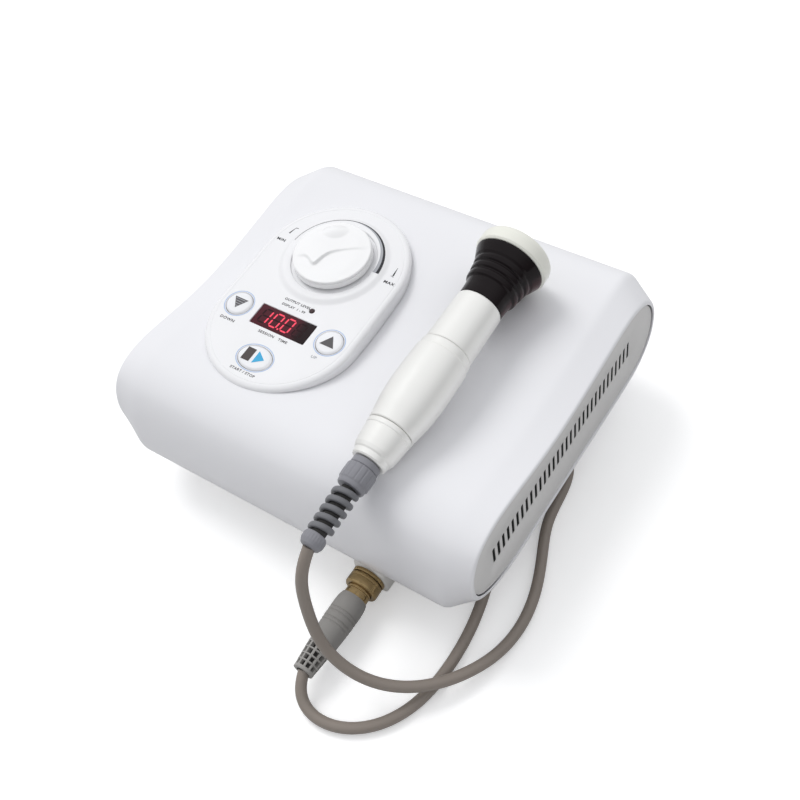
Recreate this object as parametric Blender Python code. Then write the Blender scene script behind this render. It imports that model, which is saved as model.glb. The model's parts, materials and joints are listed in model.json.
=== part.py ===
# Desktop ultrasound therapy device: console, lead and handpiece.
# The front of the console faces -Y, its right side is +X, and +Z is up.
# The origin is the bottom centre of the whole device's bounding box, on the table.
# Sizes are in millimetres and become metres as each object is made.
import bpy
import bmesh
import math
from mathutils import Matrix, Vector

MM = 0.001
GAP = 0.3                         # running and assembly gap

# ---- driving dimensions ------------------------------------------------------
# Pieces are drawn about the middle of the console's footprint, then all are moved
# by this offset, so that the origin is the middle of the whole device.
ORIGIN_X, ORIGIN_Y = -8.6, 36.0
PANEL_AT = (-43.3, -11.0, 86.5)
PANEL_TILT = math.radians(2.5)
PANEL_Y0, PANEL_Y1 = -11.0, 32.0  # centres of the oval's end arcs, in the panel's frame
KNOB_Y = 35.0                     # in the panel's frame
REAR_Y = 94.2                     # floor of the rear bay
PAN_Z0, PAN_Z1 = 4.5, 19.6        # underside of the tray, underside of the pan's flange
PAN_T = 2.5
BOARD_T = 1.6
PLUG_X, PLUG_Y, PLUG_Z = 48.0, -96.5, 13.8
HAND_AT = (48.3, -61.0, 94.4)
HAND_TILT, HAND_YAW = math.radians(4.9), math.radians(0.95)
SCREW_PLACES = ((-83, -55), (83, -55), (-83, 45), (83, 45))
SCREW_HOLE_R = 1.8
FEET = {'front_left': (-58, -66), 'front_right': (58, -66),
        'rear_left': (-58, 54), 'rear_right': (58, 54)}

# ---- looks: (base colour), roughness, metallic -------------------------------
WHITE = ((0.86, 0.86, 0.87), 0.22, 0.0)
CAP_GREY = ((0.78, 0.78, 0.78), 0.35, 0.0)
KEY_WHITE = ((0.9, 0.9, 0.91), 0.25, 0.0)
KNOB_WHITE = ((0.9, 0.9, 0.9), 0.12, 0.0)
WINDOW_RED = ((0.10, 0.005, 0.01), 0.08, 0.0)
LED_RED = ((0.05, 0.01, 0.01), 0.2, 0.0)
NECK_RED = ((0.03, 0.006, 0.008), 0.12, 0.0)
BLACK = ((0.02, 0.02, 0.02), 0.35, 0.0)
RUBBER = ((0.04, 0.04, 0.04), 0.8, 0.0)
GREY = ((0.2, 0.2, 0.21), 0.5, 0.0)
LIGHT_GREY = ((0.42, 0.4, 0.38), 0.5, 0.0)
CABLE_GREY = ((0.3, 0.26, 0.23), 0.55, 0.0)
BOARD_GREEN = ((0.02, 0.2, 0.07), 0.45, 0.0)
SLEEVE_BLUE = ((0.03, 0.04, 0.12), 0.35, 0.0)
FUSE_GLASS = ((0.7, 0.75, 0.75), 0.15, 0.3)
CERAMIC = ((0.7, 0.6, 0.45), 0.4, 0.4)
HEAD_CREAM = ((0.72, 0.72, 0.64), 0.35, 0.0)
CORE_GREY = ((0.25, 0.25, 0.27), 0.5, 0.6)
COPPER = ((0.35, 0.12, 0.04), 0.4, 0.7)
SINK_METAL = ((0.6, 0.6, 0.62), 0.4, 1.0)
STEEL = ((0.6, 0.6, 0.6), 0.3, 1.0)
BRASS = ((0.55, 0.42, 0.2), 0.3, 1.0)
SILVER = ((0.74, 0.73, 0.70), 0.32, 0.9)
SCREW_METAL = ((0.45, 0.45, 0.46), 0.35, 1.0)


# ---- curves and outlines -----------------------------------------------------
def curve_span(before, start, end, after, count):
    """Centripetal curve from start towards end: count samples, end left out."""
    t0 = 0.0
    t1 = t0 + math.sqrt((start - before).length)
    t2 = t1 + math.sqrt((end - start).length)
    t3 = t2 + math.sqrt((after - end).length)
    samples = []
    for k in range(count):
        t = t1 + (t2 - t1) * k / count
        first = before.lerp(start, (t - t0) / (t1 - t0))
        middle = start.lerp(end, (t - t1) / (t2 - t1))
        last = end.lerp(after, (t - t2) / (t3 - t2))
        early = first.lerp(middle, (t - t0) / (t2 - t0))
        late = middle.lerp(last, (t - t1) / (t3 - t1))
        samples.append(early.lerp(late, (t - t1) / (t2 - t1)))
    return samples


def closed_curve(points, count):
    """Closed curve through the points, count samples on each span."""
    knots = [Vector(point) for point in points]
    samples = []
    for i in range(len(knots)):
        around = (knots[(i + k) % len(knots)] for k in (-1, 0, 1, 2))
        samples += curve_span(*around, count)
    return samples


def open_curve(points, step):
    """Open curve through the points, sampled about every step."""
    knots = [Vector(point) for point in points]
    knots = [knots[0] * 2 - knots[1]] + knots + [knots[-1] * 2 - knots[-2]]
    samples = []
    for i in range(1, len(knots) - 2):
        count = max(1, round((knots[i + 1] - knots[i]).length / step))
        samples += curve_span(*knots[i - 1:i + 3], count)
    return samples + [knots[-2]]


def inset(loop, distance):
    """Moves a clockwise (front, over the top, back) profile inward."""
    moved = []
    for i, point in enumerate(loop):
        along = (loop[(i + 1) % len(loop)] - loop[i - 1]).normalized()
        moved.append(point + Vector((along.y, -along.x)) * distance)
    return moved


def polar(radius, angle):
    return radius * math.cos(angle), radius * math.sin(angle)


def panel_oval(radius, count=12):
    """Counter-clockwise oval in the panel's frame, count facets on each end arc."""
    arc = [polar(radius, math.pi * k / count) for k in range(count + 1)]
    return ([(x, PANEL_Y1 + y) for x, y in arc]
            + [(-x, PANEL_Y0 - y) for x, y in arc])


# ---- mesh helpers ------------------------------------------------------------
def rings_mesh(rings, closed=False):
    """Skins a list of rings, equal in count or single points (poles).

    Closed joins the last ring to the first, else both ends are capped.
    """
    mesh = bmesh.new()
    rows = [[mesh.verts.new(point) for point in ring] for ring in rings]
    pairs = list(zip(rows, rows[1:]))
    if closed:
        pairs.append((rows[-1], rows[0]))
    for lower, upper in pairs:
        count = max(len(lower), len(upper))
        if count == 1:
            continue
        for i in range(count):
            j = (i + 1) % count
            if len(lower) == 1:
                mesh.faces.new((lower[0], upper[j], upper[i]))
            elif len(upper) == 1:
                mesh.faces.new((lower[i], lower[j], upper[0]))
            else:
                mesh.faces.new((lower[i], lower[j], upper[j], upper[i]))
    if not closed:
        mesh.faces.new(rows[0])
        mesh.faces.new(rows[-1])
    return mesh


def circle(radius, height, segments, x_scale=1.0):
    points = [polar(radius, 2 * math.pi * k / segments) for k in range(segments)]
    return [(x_scale * x, y, height) for x, y in points]


def lathe(profile, segments=22, x_scale=1.0):
    """Turns a closed (radius, height) profile about local Z; a zero radius is a pole."""
    return rings_mesh([circle(radius, height, segments, x_scale) if radius > 0
                       else [(0, 0, height)] for radius, height in profile], closed=True)


def rod_profile(radius, z0, z1):
    return [(0, z0), (radius, z0), (radius, z1), (0, z1)]


def at_x(loop, x):
    return [(x, y, z) for y, z in loop]


def extrude_x(loop, x0, x1):
    return rings_mesh([at_x(loop, x0), at_x(loop, x1)])


def extrude_z(loop, z0, z1):
    return rings_mesh([[(x, y, z) for x, y in loop] for z in (z0, z1)])


def boxes(*spans):
    """One mesh of separate boxes, each (x0, x1, y0, y1, z0, z1)."""
    mesh = bmesh.new()
    for x0, x1, y0, y1, z0, z1 in spans:
        centre = Matrix.Translation(((x0 + x1) / 2, (y0 + y1) / 2, (z0 + z1) / 2))
        size = Matrix.Diagonal((x1 - x0, y1 - y0, z1 - z0, 1.0))
        bmesh.ops.create_cube(mesh, size=1.0, matrix=centre @ size)
    return mesh


def span_about(x, y, half_x, half_y, z0, z1):
    """Box span centred on (x, y)."""
    return x - half_x, x + half_x, y - half_y, y + half_y, z0, z1


def bevelled_box(span, width):
    mesh = boxes(span)
    bmesh.ops.bevel(mesh, geom=list(mesh.edges), offset=width, segments=1, affect='EDGES')
    return mesh


def rods(*specs, segments=8):
    """One mesh of separate upright cylinders, each (x, y, radius, z0, z1)."""
    mesh = bmesh.new()
    for x, y, radius, z0, z1 in specs:
        bmesh.ops.create_cone(mesh, cap_ends=True, segments=segments,
                              radius1=radius, radius2=radius, depth=z1 - z0,
                              matrix=Matrix.Translation((x, y, (z0 + z1) / 2)))
    return mesh


# ---- object helpers ----------------------------------------------------------
def material(name, colour, roughness, metallic):
    made = bpy.data.materials.new(name + '_material')
    made.use_nodes = True
    inputs = made.node_tree.nodes['Principled BSDF'].inputs
    inputs['Base Color'].default_value = (*colour, 1.0)
    inputs['Roughness'].default_value = roughness
    inputs['Metallic'].default_value = metallic
    made.diffuse_color = (*colour, 1.0)
    return made


def place(name, data, parent, at, turn):
    placed = bpy.data.objects.new(name, data)
    placed.location = [value * MM for value in at]
    placed.rotation_euler = turn
    placed.parent = parent
    bpy.context.scene.collection.objects.link(placed)
    return placed


def frame(name, at, turn=(0, 0, 0), parent=None):
    """Empty that carries the pieces drawn about it."""
    axis = place(name, None, parent, at, turn)
    axis.empty_display_size = 0.01
    return axis


def make(name, mesh, look=None, parent=None, smooth=30, at=(0, 0, 0), turn=(0, 0, 0)):
    """Turns a mesh drawn in millimetres into an object; without a look it is a hidden tool."""
    bmesh.ops.scale(mesh, vec=(MM, MM, MM), verts=mesh.verts)
    bmesh.ops.recalc_face_normals(mesh, faces=mesh.faces)
    data = bpy.data.meshes.new(name)
    mesh.to_mesh(data)
    mesh.free()
    data.shade_smooth()
    data.set_sharp_from_angle(angle=math.radians(smooth))
    made = place(name, data, parent, at, turn)
    if look:
        data.materials.append(material(name, *look))
    else:
        made.hide_render = True
        made.display_type = 'WIRE'
    return made


def add_boolean(part, tool, operation):
    modifier = part.modifiers.new(operation.lower() + '_' + tool.name, 'BOOLEAN')
    modifier.operation = operation
    modifier.solver = 'EXACT'
    modifier.object = tool


def cut(part, name, mesh, **placement):
    add_boolean(part, make(name + '_tool', mesh, **placement), 'DIFFERENCE')


def join(part, name, mesh, **placement):
    add_boolean(part, make(name + '_tool', mesh, **placement), 'UNION')


# ---- console shell -----------------------------------------------------------
HALF_WIDTH = 110.5                # to the end rims
CREASE_X = 96.5                   # where the end bands start
SHELL_T = 2.6
RIM_T = 2.0                       # shell wall at the end rims

# closed side profiles, (y, z): the middle section, then the end rim it tapers to
MIDDLE_POINTS = [
    (-87, 23), (-94, 25.5), (-98.5, 31), (-100, 39), (-99, 48.5), (-96.7, 58),
    (-93.5, 66.5), (-88.5, 73.8), (-81, 78.8), (-71.4, 81.4), (-61, 81.8), (-47, 80.2),
    (-31, 78.3), (-11, 77.2), (7, 78.0), (26, 80.2), (44, 82.9), (61, 84.8),
    (75, 85.2), (85.5, 83.2), (94, 77.2), (99, 68), (100.8, 56), (98.6, 42),
    (92.3, 30.5), (83, 25), (71, 23), (10, 23), (-42, 23), (-70, 23)]
RIM_POINTS = [
    (-72, 27.2), (-80, 30.5), (-87.5, 35.8), (-92, 42.5), (-93.7, 50.5), (-93.3, 60),
    (-90.6, 68.2), (-86, 74.4), (-79.5, 78.1), (-71, 79.9), (-61, 80), (-47, 78.2),
    (-31, 75.9), (-11, 74.2), (7, 74.6), (25, 76.1), (42, 77.8), (57, 79.2),
    (69.5, 78.6), (79.5, 75.4), (87.5, 69.2), (92.6, 61), (95, 52), (94, 41.5),
    (89.5, 33), (81.5, 27), (70, 23.8), (10, 23.6), (-42, 23.6), (-60, 24.5)]
MIDDLE_LOOP = closed_curve(MIDDLE_POINTS, 2)
RIM_LOOP = closed_curve(RIM_POINTS, 2)

# pad behind the rear bay, (y, z)
PAD_HALF_X = 42
PAD_LOOP = [(90.8, 35.5), (95.4, 35.5), (98.0, 46), (99.2, 56), (98.0, 68.5), (90.8, 68.5)]
REAR_BAY = (-40, 40, REAR_Y, 110, 38, 66)
INLET_HOLE = (-34.4, -1.6, 80, 110, 39.6, 64.4)
SWITCH_HOLE = (14.7, 28.3, 80, 110, 42.0, 62.0)
UNDER_OPENING = (-80, 80, -76, 64, 10, 32)
SCREW_HOLES = [(x, y, SCREW_HOLE_R, 10, 32) for x, y in SCREW_PLACES]


def build_upper_housing(panel_frame):
    middle_inner = inset(MIDDLE_LOOP, SHELL_T)
    rim_inner = inset(RIM_LOOP, RIM_T)
    sections = ((RIM_LOOP, -HALF_WIDTH), (MIDDLE_LOOP, -CREASE_X),
                (MIDDLE_LOOP, CREASE_X), (RIM_LOOP, HALF_WIDTH),
                (rim_inner, HALF_WIDTH), (middle_inner, CREASE_X),
                (middle_inner, -CREASE_X), (rim_inner, -HALF_WIDTH))
    shell = rings_mesh([at_x(loop, x) for loop, x in sections], closed=True)
    housing = make('upper_housing', shell, WHITE, smooth=35)
    join(housing, 'rear_pad', extrude_x(PAD_LOOP, -PAD_HALF_X, PAD_HALF_X))
    cut(housing, 'rear_bay', boxes(REAR_BAY))
    cut(housing, 'rear_holes', boxes(INLET_HOLE, SWITCH_HOLE))
    cut(housing, 'under_opening', boxes(UNDER_OPENING))
    cut(housing, 'screw_holes', rods(*SCREW_HOLES))
    cut(housing, 'panel_opening', extrude_z(panel_oval(38.5, 10), -24, 8), parent=panel_frame)


# ---- side caps, each with one row of vents -----------------------------------
CAP_OUT = 109.7                   # outer face
CAP_T = 2.4
CAP_CLEARANCE = 0.4               # between the cap's edge and the rim wall
VENTS = 32
VENT_PITCH = 4.413
VENT_Y0 = -72.6                   # middle of the front vent
VENT_WIDTH = 1.9
VENT_Z0, VENT_Z1 = 48.0, 60.0


def build_side_caps():
    loop = inset(RIM_LOOP, RIM_T + CAP_CLEARANCE)
    vents = [span_about(0, VENT_Y0 + k * VENT_PITCH, 120, VENT_WIDTH / 2, VENT_Z0, VENT_Z1)
             for k in range(VENTS)]
    vent_tool = make('vent_tool', boxes(*vents))
    for side, sign in (('left', -1), ('right', 1)):
        cap = make('side_cap_' + side,
                   extrude_x(loop, sign * (CAP_OUT - CAP_T), sign * CAP_OUT), CAP_GREY)
        add_boolean(cap, vent_tool, 'DIFFERENCE')


# ---- base pan, screws and feet -----------------------------------------------
FLANGE_TOP = PAN_Z1 + PAN_T
PAN_FLOOR = PAN_Z0 + PAN_T
TRAY_X, TRAY_Y0, TRAY_Y1 = 72, -80, 66
BOSS_HALF_X = 9.4                 # boss round the front socket
BOSS_HOLLOW_HALF_X = 7.8
BOSS_WALL_T = 2
RIB_TOP = 11
RIB_X = ((6, 9), (54, 57))
RIB_Y = ((-60, -12), (8, 52))

# (radius, height)
SCREW_PROFILE = [(0, 16.8), (2.4, 16.8), (2.9, 17.4), (2.9, 19.3), (1.5, 19.3),
                 (1.5, 29.5), (0, 30.5)]
FOOT_PROFILE = [(0, 0), (7.0, 0), (7.6, 0.6), (8.0, 4.2), (2.5, 4.2), (2.5, 8.6), (0, 8.6)]
FOOT_HOLES = [(x, y, 2.9, 0, 10) for x, y in FEET.values()]


def build_base_pan():
    pan = make('base_pan', boxes((-86, 86, -80.5, 68, PAN_Z1, FLANGE_TOP)), CAP_GREY)
    join(pan, 'tray', boxes((-TRAY_X, TRAY_X, TRAY_Y0, TRAY_Y1, PAN_Z0, PAN_Z1 + 1)))
    join(pan, 'boss', boxes((PLUG_X - BOSS_HALF_X, PLUG_X + BOSS_HALF_X, PLUG_Y, -78,
                             PAN_Z0, FLANGE_TOP)))
    cut(pan, 'tray_hollow', boxes((-TRAY_X + PAN_T, TRAY_X - PAN_T,
                                   TRAY_Y0 + PAN_T, TRAY_Y1 - PAN_T, PAN_FLOOR, 30)))
    cut(pan, 'boss_hollow', boxes((PLUG_X - BOSS_HOLLOW_HALF_X, PLUG_X + BOSS_HOLLOW_HALF_X,
                                   PLUG_Y + BOSS_WALL_T, -70, 5.7, 21.3)))
    # the board ribs start inside the floor
    join(pan, 'rib', boxes(*[(*x_span, *y_span, 6.5, RIB_TOP)
                             for y_span in RIB_Y for x_span in RIB_X]))
    cut(pan, 'pan_holes', rods(*SCREW_HOLES, *FOOT_HOLES))
    cut(pan, 'socket_hole', lathe(rod_profile(6.2, -8, 8), 14),
        at=(PLUG_X, PLUG_Y, PLUG_Z), turn=(math.pi / 2, 0, 0))


def build_screws_and_feet():
    for number, (x, y) in enumerate(SCREW_PLACES, 1):
        make('base_screw_%d' % number, lathe(SCREW_PROFILE, 10), SCREW_METAL, at=(x, y, 0))
    for name, (x, y) in FEET.items():
        make('foot_' + name, lathe(FOOT_PROFILE, 14), RUBBER, at=(x, y, 0))


# ---- control panel, in its own tilted frame: z = 0 is the plate's face --------
PANEL_R = 43.0                    # half width of the oval plate
PANEL_T = 2.5
WINDOW_Y = -12.4
WINDOW_HALF_X, WINDOW_HALF_Y = 34.8 / 2, 13.0 / 2
KEY_X, KEY_Y, KEY_R = 29.6, -11.8, 7.2
START_Y = -37.0
START_HALF_X = 9.8                # the start key is an ellipse, KEY_R the other way
KEY_CLEARANCE = 0.4
LED_X, LED_Y = 9.1, 1.2
BOARD_TOP = -16.0
ON_BOARD = BOARD_TOP + GAP        # underside of what stands on the board

# oval stations from the skirt up: (radius, z)
PANEL_STATIONS = ((PANEL_R + 0.6, -22.0), (PANEL_R, -2.0), (PANEL_R - 0.7, -0.5),
                  (PANEL_R - 2.0, 0.0))
# (radius, z)
MOUND_PROFILE = [(0, -1.2), (30.8, -1.2), (30.8, 0.0), (29.4, 0.9), (27.4, 1.5), (0, 1.5)]
LED_PROFILE = [(0, ON_BOARD), (1.5, ON_BOARD), (1.5, 0.1), (1.1, 0.6), (0, 0.8)]
KEY_PROFILE = [(0, 0.9), (5.2, 0.85), (6.6, 0.55), (KEY_R, 0.0), (KEY_R, -2.8), (8.6, -2.8),
               (8.6, -3.9), (2.0, -3.9), (2.0, -10.0), (0, -10.0)]
POST_PLACES = ((-30, 2), (30, 2), (-12, -45), (12, -45))

# key name, switch name, x, y, stretch along x
KEYS = (('down_button', 'down', -KEY_X, KEY_Y, 1.0),
        ('up_button', 'up', KEY_X, KEY_Y, 1.0),
        ('start_stop_button', 'start', 0.0, START_Y, START_HALF_X / KEY_R))


def build_control_panel(panel_frame):
    plate = rings_mesh([[(x, y, z) for x, y in panel_oval(radius)]
                        for radius, z in PANEL_STATIONS])
    panel = make('control_panel', plate, WHITE, parent=panel_frame)
    join(panel, 'mound', lathe(MOUND_PROFILE, 26), parent=panel_frame, at=(0, KNOB_Y, 0))
    cut(panel, 'panel_hollow', extrude_z(panel_oval(40.4, 10), -30, -PANEL_T),
        parent=panel_frame)
    join(panel, 'posts', rods(*[(x, y, 2, ON_BOARD, -1) for x, y in POST_PLACES]),
         parent=panel_frame)

    # trims the skirt to the housing's surface, but leaves what passes through its opening
    body = make('body_solid_tool', extrude_x(inset(MIDDLE_LOOP, -GAP), -100, 20))
    cut(body, 'opening_core', extrude_z(panel_oval(38.0, 10), -40, 12), parent=panel_frame)
    add_boolean(panel, body, 'DIFFERENCE')

    cut(panel, 'window_hole', boxes(span_about(0, WINDOW_Y, WINDOW_HALF_X + GAP,
                                               WINDOW_HALF_Y + GAP, -8, 8)),
        parent=panel_frame)
    hole_r = KEY_R + KEY_CLEARANCE
    cut(panel, 'key_holes', rods((-KEY_X, KEY_Y, hole_r, -8, 8), (KEY_X, KEY_Y, hole_r, -8, 8),
                                 (LED_X, LED_Y, 1.8, -8, 8), segments=16),
        parent=panel_frame)
    cut(panel, 'start_hole', lathe(rod_profile(hole_r, -8, 8), 16,
                                   x_scale=(START_HALF_X + KEY_CLEARANCE) / hole_r),
        parent=panel_frame, at=(0, START_Y, 0))
    cut(panel, 'pot_hole', rods((0, KNOB_Y, 4.8, -8, 8), segments=14), parent=panel_frame)


def build_display(panel_frame):
    window = span_about(0, WINDOW_Y, WINDOW_HALF_X, WINDOW_HALF_Y, -2.4, -0.25)
    make('display_window', bevelled_box(window, 0.3), WINDOW_RED, parent=panel_frame)
    module = span_about(0, WINDOW_Y, WINDOW_HALF_X - 0.6, WINDOW_HALF_Y + 0.4, ON_BOARD, -2.9)
    make('display_module', bevelled_box(module, 0.4), BLACK, parent=panel_frame)
    make('status_led', lathe(LED_PROFILE, 10), LED_RED, parent=panel_frame,
         at=(LED_X, LED_Y, 0))
    make('control_board', boxes((-37, 37, -48, 5.5, BOARD_TOP - BOARD_T, BOARD_TOP)),
         BOARD_GREEN, parent=panel_frame)


def build_keys(panel_frame):
    for name, switch, x, y, stretch in KEYS:
        key_frame = frame(name + '_axis', (x, y, 0), parent=panel_frame)
        make(name, lathe(KEY_PROFILE, 18, x_scale=stretch), KEY_WHITE, parent=key_frame)
        tact = make('tact_switch_' + switch, boxes(span_about(0, 0, 3, 3, ON_BOARD, -12.2)),
                    BLACK, parent=panel_frame, at=(x, y, 0))
        join(tact, 'plunger_' + switch, rods((0, 0, 1.6, -13, -10.9)),
             parent=panel_frame, at=(x, y, 0))


# ---- intensity control, about the knob's axis --------------------------------
KNOB_R = 21.8
KNOB_POINTER = math.radians(120.0)  # counter-clockwise from the panel's +X
KNOB_SEGMENTS = 28

# (radius, z)
POT_PROFILE = [(8.5, -2.8), (8.5, -11.0), (0, -11.0), (0, -7.2), (3.25, -7.2), (3.25, 4.6),
               (4.5, 4.6), (4.5, -2.8)]
# from the shaft bore, under the skirt and up the outside
KNOB_PROFILE = [(3.25, 6.7), (3.25, 4.9), (6.0, 4.9), (6.0, 6.2), (19.9, 5.5), (19.9, 2.1),
                (KNOB_R, 2.1), (KNOB_R - 0.3, 6.1), (KNOB_R - 1.0, 7.0)]
KNOB_FACE_RADII = (19.4, 15.5, 11.2, 6.0)
# nut stations: (radius, radius at the six corners, z)
NUT_SEGMENTS = 24
NUT_STATIONS = ((5.0, 5.0, 1.8), (6.35, 6.6, 1.8), (6.35, 6.6, 4.2), (5.0, 5.0, 4.2))


def knob_top(x, y):
    """Height of the knob's face: the +Y half stands higher, across an S-shaped step."""
    step_y = 1.2 * math.sin(math.pi * x / 21.0) - 1.0
    rise = min(1.0, max(0.0, (y - step_y) / 1.8))
    rise = rise * rise * (3 - 2 * rise)
    # falls to nothing near the rim
    dome = min(1.0, max(0.0, (20.6 - math.hypot(x, y)) / 8.0))
    height = 7.0 + 0.8 * dome + rise * (0.3 + 1.1 * dome)
    # oval pointer bump
    bump = math.hypot(x / 7.0, (y - 14.5) / 4.6)
    if bump < 1.0:
        height += 0.9 * (1 - bump * bump) ** 2
    return height


def build_knob(knob_frame):
    rings = [circle(radius, z, KNOB_SEGMENTS) for radius, z in KNOB_PROFILE]
    for radius in KNOB_FACE_RADII:
        rings.append([(x, y, knob_top(x, y)) for x, y, _ in circle(radius, 0, KNOB_SEGMENTS)])
    mesh = rings_mesh(rings)
    bmesh.ops.triangulate(mesh, faces=[face for face in mesh.faces if len(face.verts) > 4])
    # the face is drawn with its pointer at +Y
    make('knob', mesh, KNOB_WHITE, parent=knob_frame,
         turn=(0, 0, KNOB_POINTER - math.pi / 2), smooth=40)


def build_potentiometer(knob_frame):
    make('potentiometer', lathe(POT_PROFILE, 16), STEEL, parent=knob_frame)
    nut = [[(*polar(radius if k % 4 else corner, 2 * math.pi * k / NUT_SEGMENTS), z)
            for k in range(NUT_SEGMENTS)] for radius, corner, z in NUT_STATIONS]
    make('pot_nut', rings_mesh(nut, closed=True), STEEL, parent=knob_frame)
    make('pot_shaft', lathe(rod_profile(2.95, -6.8, 6.4), 10), STEEL, parent=knob_frame)


# ---- electronics on the pan --------------------------------------------------
CORE_BOX = (-64, -16, 2, 40, PAN_FLOOR + GAP, 45)
WINDING_BOX = (-58, -22, -7, 49, 12, 40)
PAN_BOARD_Z0 = RIB_TOP + GAP
PAN_BOARD_Z1 = PAN_BOARD_Z0 + BOARD_T
ON_PAN_BOARD = PAN_BOARD_Z1 + GAP
PAN_BOARDS = {'power_board': (6, 54), 'generator_board': (-62, -10)}  # y spans
CAPACITOR_PROFILE = [(0, ON_PAN_BOARD), (9.0, ON_PAN_BOARD), (9.0, 37.4), (8.4, 38.0), (0, 38.0)]
SINK_X0, SINK_X1, SINK_TOP = 34, 56, 40
FINS, FIN_PITCH, FIN_T = 5, 4.6, 2.2
COIL_R, COIL_WIRE_R = 9, 3.5      # ring radius, section radius


def build_power_parts():
    transformer = make('mains_transformer', bevelled_box(CORE_BOX, 1.0), CORE_GREY)
    join(transformer, 'coil', bevelled_box(WINDING_BOX, 3.0))
    for name, (y0, y1) in PAN_BOARDS.items():
        make(name, boxes((2, 61, y0, y1, PAN_BOARD_Z0, PAN_BOARD_Z1)), BOARD_GREEN)
    make('filter_capacitor', lathe(CAPACITOR_PROFILE, 16), SLEEVE_BLUE, at=(20, 34, 0))


def build_heat_sink():
    sink = make('heat_sink', boxes((SINK_X0, SINK_X1, -58, -55, ON_PAN_BOARD, SINK_TOP)),
                SINK_METAL)
    starts = [SINK_X0 + FIN_PITCH * k for k in range(FINS)]
    join(sink, 'fins', boxes(*[(x, x + FIN_T, -56, -42, ON_PAN_BOARD, SINK_TOP)
                               for x in starts]))


def build_output_coil():
    section = [polar(COIL_WIRE_R, 2 * math.pi * j / 8) for j in range(8)]
    rings = [[(*polar(COIL_R + out, 2 * math.pi * i / 16), z) for out, z in section]
             for i in range(16)]
    make('output_coil', rings_mesh(rings, closed=True), COPPER, at=(19, -36, 16.8))


# ---- rear bay: mains inlet with fuse drawer, rocker switch -------------------
INLET_FLANGE = (-37, 1, REAR_Y + GAP, REAR_Y + 2.3, 38.4, 65.6)
INLET_BODY = (-34, -2, 72, REAR_Y + 1, 40, 64)
# (x, z)
CAVITY_LOOP = [(-25.5, 45.5), (-25.5, 58.5), (-22.0, 62.0), (-7.5, 62.0), (-4.0, 58.5),
               (-4.0, 45.5)]
INLET_PINS = ((-22.0, -20.0, 76, 92, 48.5, 53.0), (-9.5, -7.5, 76, 92, 48.5, 53.0),
              (-15.75, -13.75, 76, 92, 54.0, 58.5))
# the drawer's section, as spans of x and z
DRAWER_X0, DRAWER_X1, DRAWER_Z0, DRAWER_Z1 = -33.0, -27.4, 41.4, 62.6
DRAWER_SLOT = (DRAWER_X0 - GAP, DRAWER_X1 + GAP, 74, 110, DRAWER_Z0 - GAP, DRAWER_Z1 + GAP)
# (radius, height): end ferrules and the thinner tube between
FUSE_PROFILE = [(0, -9.9), (2.3, -9.9), (2.5, -9.7), (2.5, -5.0), (2.3, -5.0), (2.3, 5.0),
                (2.5, 5.0), (2.5, 9.7), (2.3, 9.9), (0, 9.9)]
SWITCH_FLANGE = (12.9, 30.1, REAR_Y + GAP, REAR_Y + 2.1, 40.4, 63.6)
SWITCH_BODY = (15.0, 28.0, 76, REAR_Y + 1, 42.4, 61.6)
SWITCH_CAVITY = (15.9, 27.1, 82.0, 110, 43.2, 60.8)
ROCKER_TILT = math.radians(10)
# about the rocker's axis, (y, z)
ROCKER_LOOP = [(4.9, -7.6), (5.1, -6.8), (3.7, -3.0), (3.3, 0.0), (3.7, 3.0), (5.1, 6.8),
               (4.9, 7.6), (0.5, 7.4), (-3.6, 3.0), (-4.6, 0.0), (-3.6, -3.0), (0.5, -7.4)]


def build_mains_inlet():
    inlet = make('mains_inlet', boxes(INLET_FLANGE), BLACK)
    join(inlet, 'inlet_body', boxes(INLET_BODY))
    cut(inlet, 'inlet_cavity', rings_mesh([[(x, y, z) for x, z in CAVITY_LOOP]
                                           for y in (78, 110)]))
    join(inlet, 'inlet_pins', boxes(*INLET_PINS))
    cut(inlet, 'drawer_slot', boxes(DRAWER_SLOT))


def build_fuse_drawer():
    drawer = make('fuse_drawer', boxes((DRAWER_X0, DRAWER_X1, 74.6, 97.2,
                                        DRAWER_Z0, DRAWER_Z1)), BLACK)
    cut(drawer, 'drawer_pocket', boxes((-40, -20, 82.2, 89.4, DRAWER_Z0 + GAP,
                                        DRAWER_Z1 - GAP)))
    cut(drawer, 'drawer_grip', boxes((-40, -20, 95.6, 96.4, 43, 48)))
    join(drawer, 'drawer_floor', boxes((DRAWER_X0, DRAWER_X0 + 0.4, 81, 90.5,
                                        DRAWER_Z0, DRAWER_Z1)))
    make('fuse', lathe(FUSE_PROFILE, 10), FUSE_GLASS, at=(-29.9, 85.8, 52))


def build_rocker_switch():
    switch = make('switch_frame', boxes(SWITCH_FLANGE), BLACK)
    join(switch, 'frame_body', boxes(SWITCH_BODY))
    cut(switch, 'frame_hole', boxes(SWITCH_CAVITY))
    rocker_axis = frame('rocker_axis', (21.5, 91.8, 52.0), (ROCKER_TILT, 0, 0))
    make('rocker_switch', extrude_x(ROCKER_LOOP, -5.2, 5.2), BLACK, parent=rocker_axis)


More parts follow.
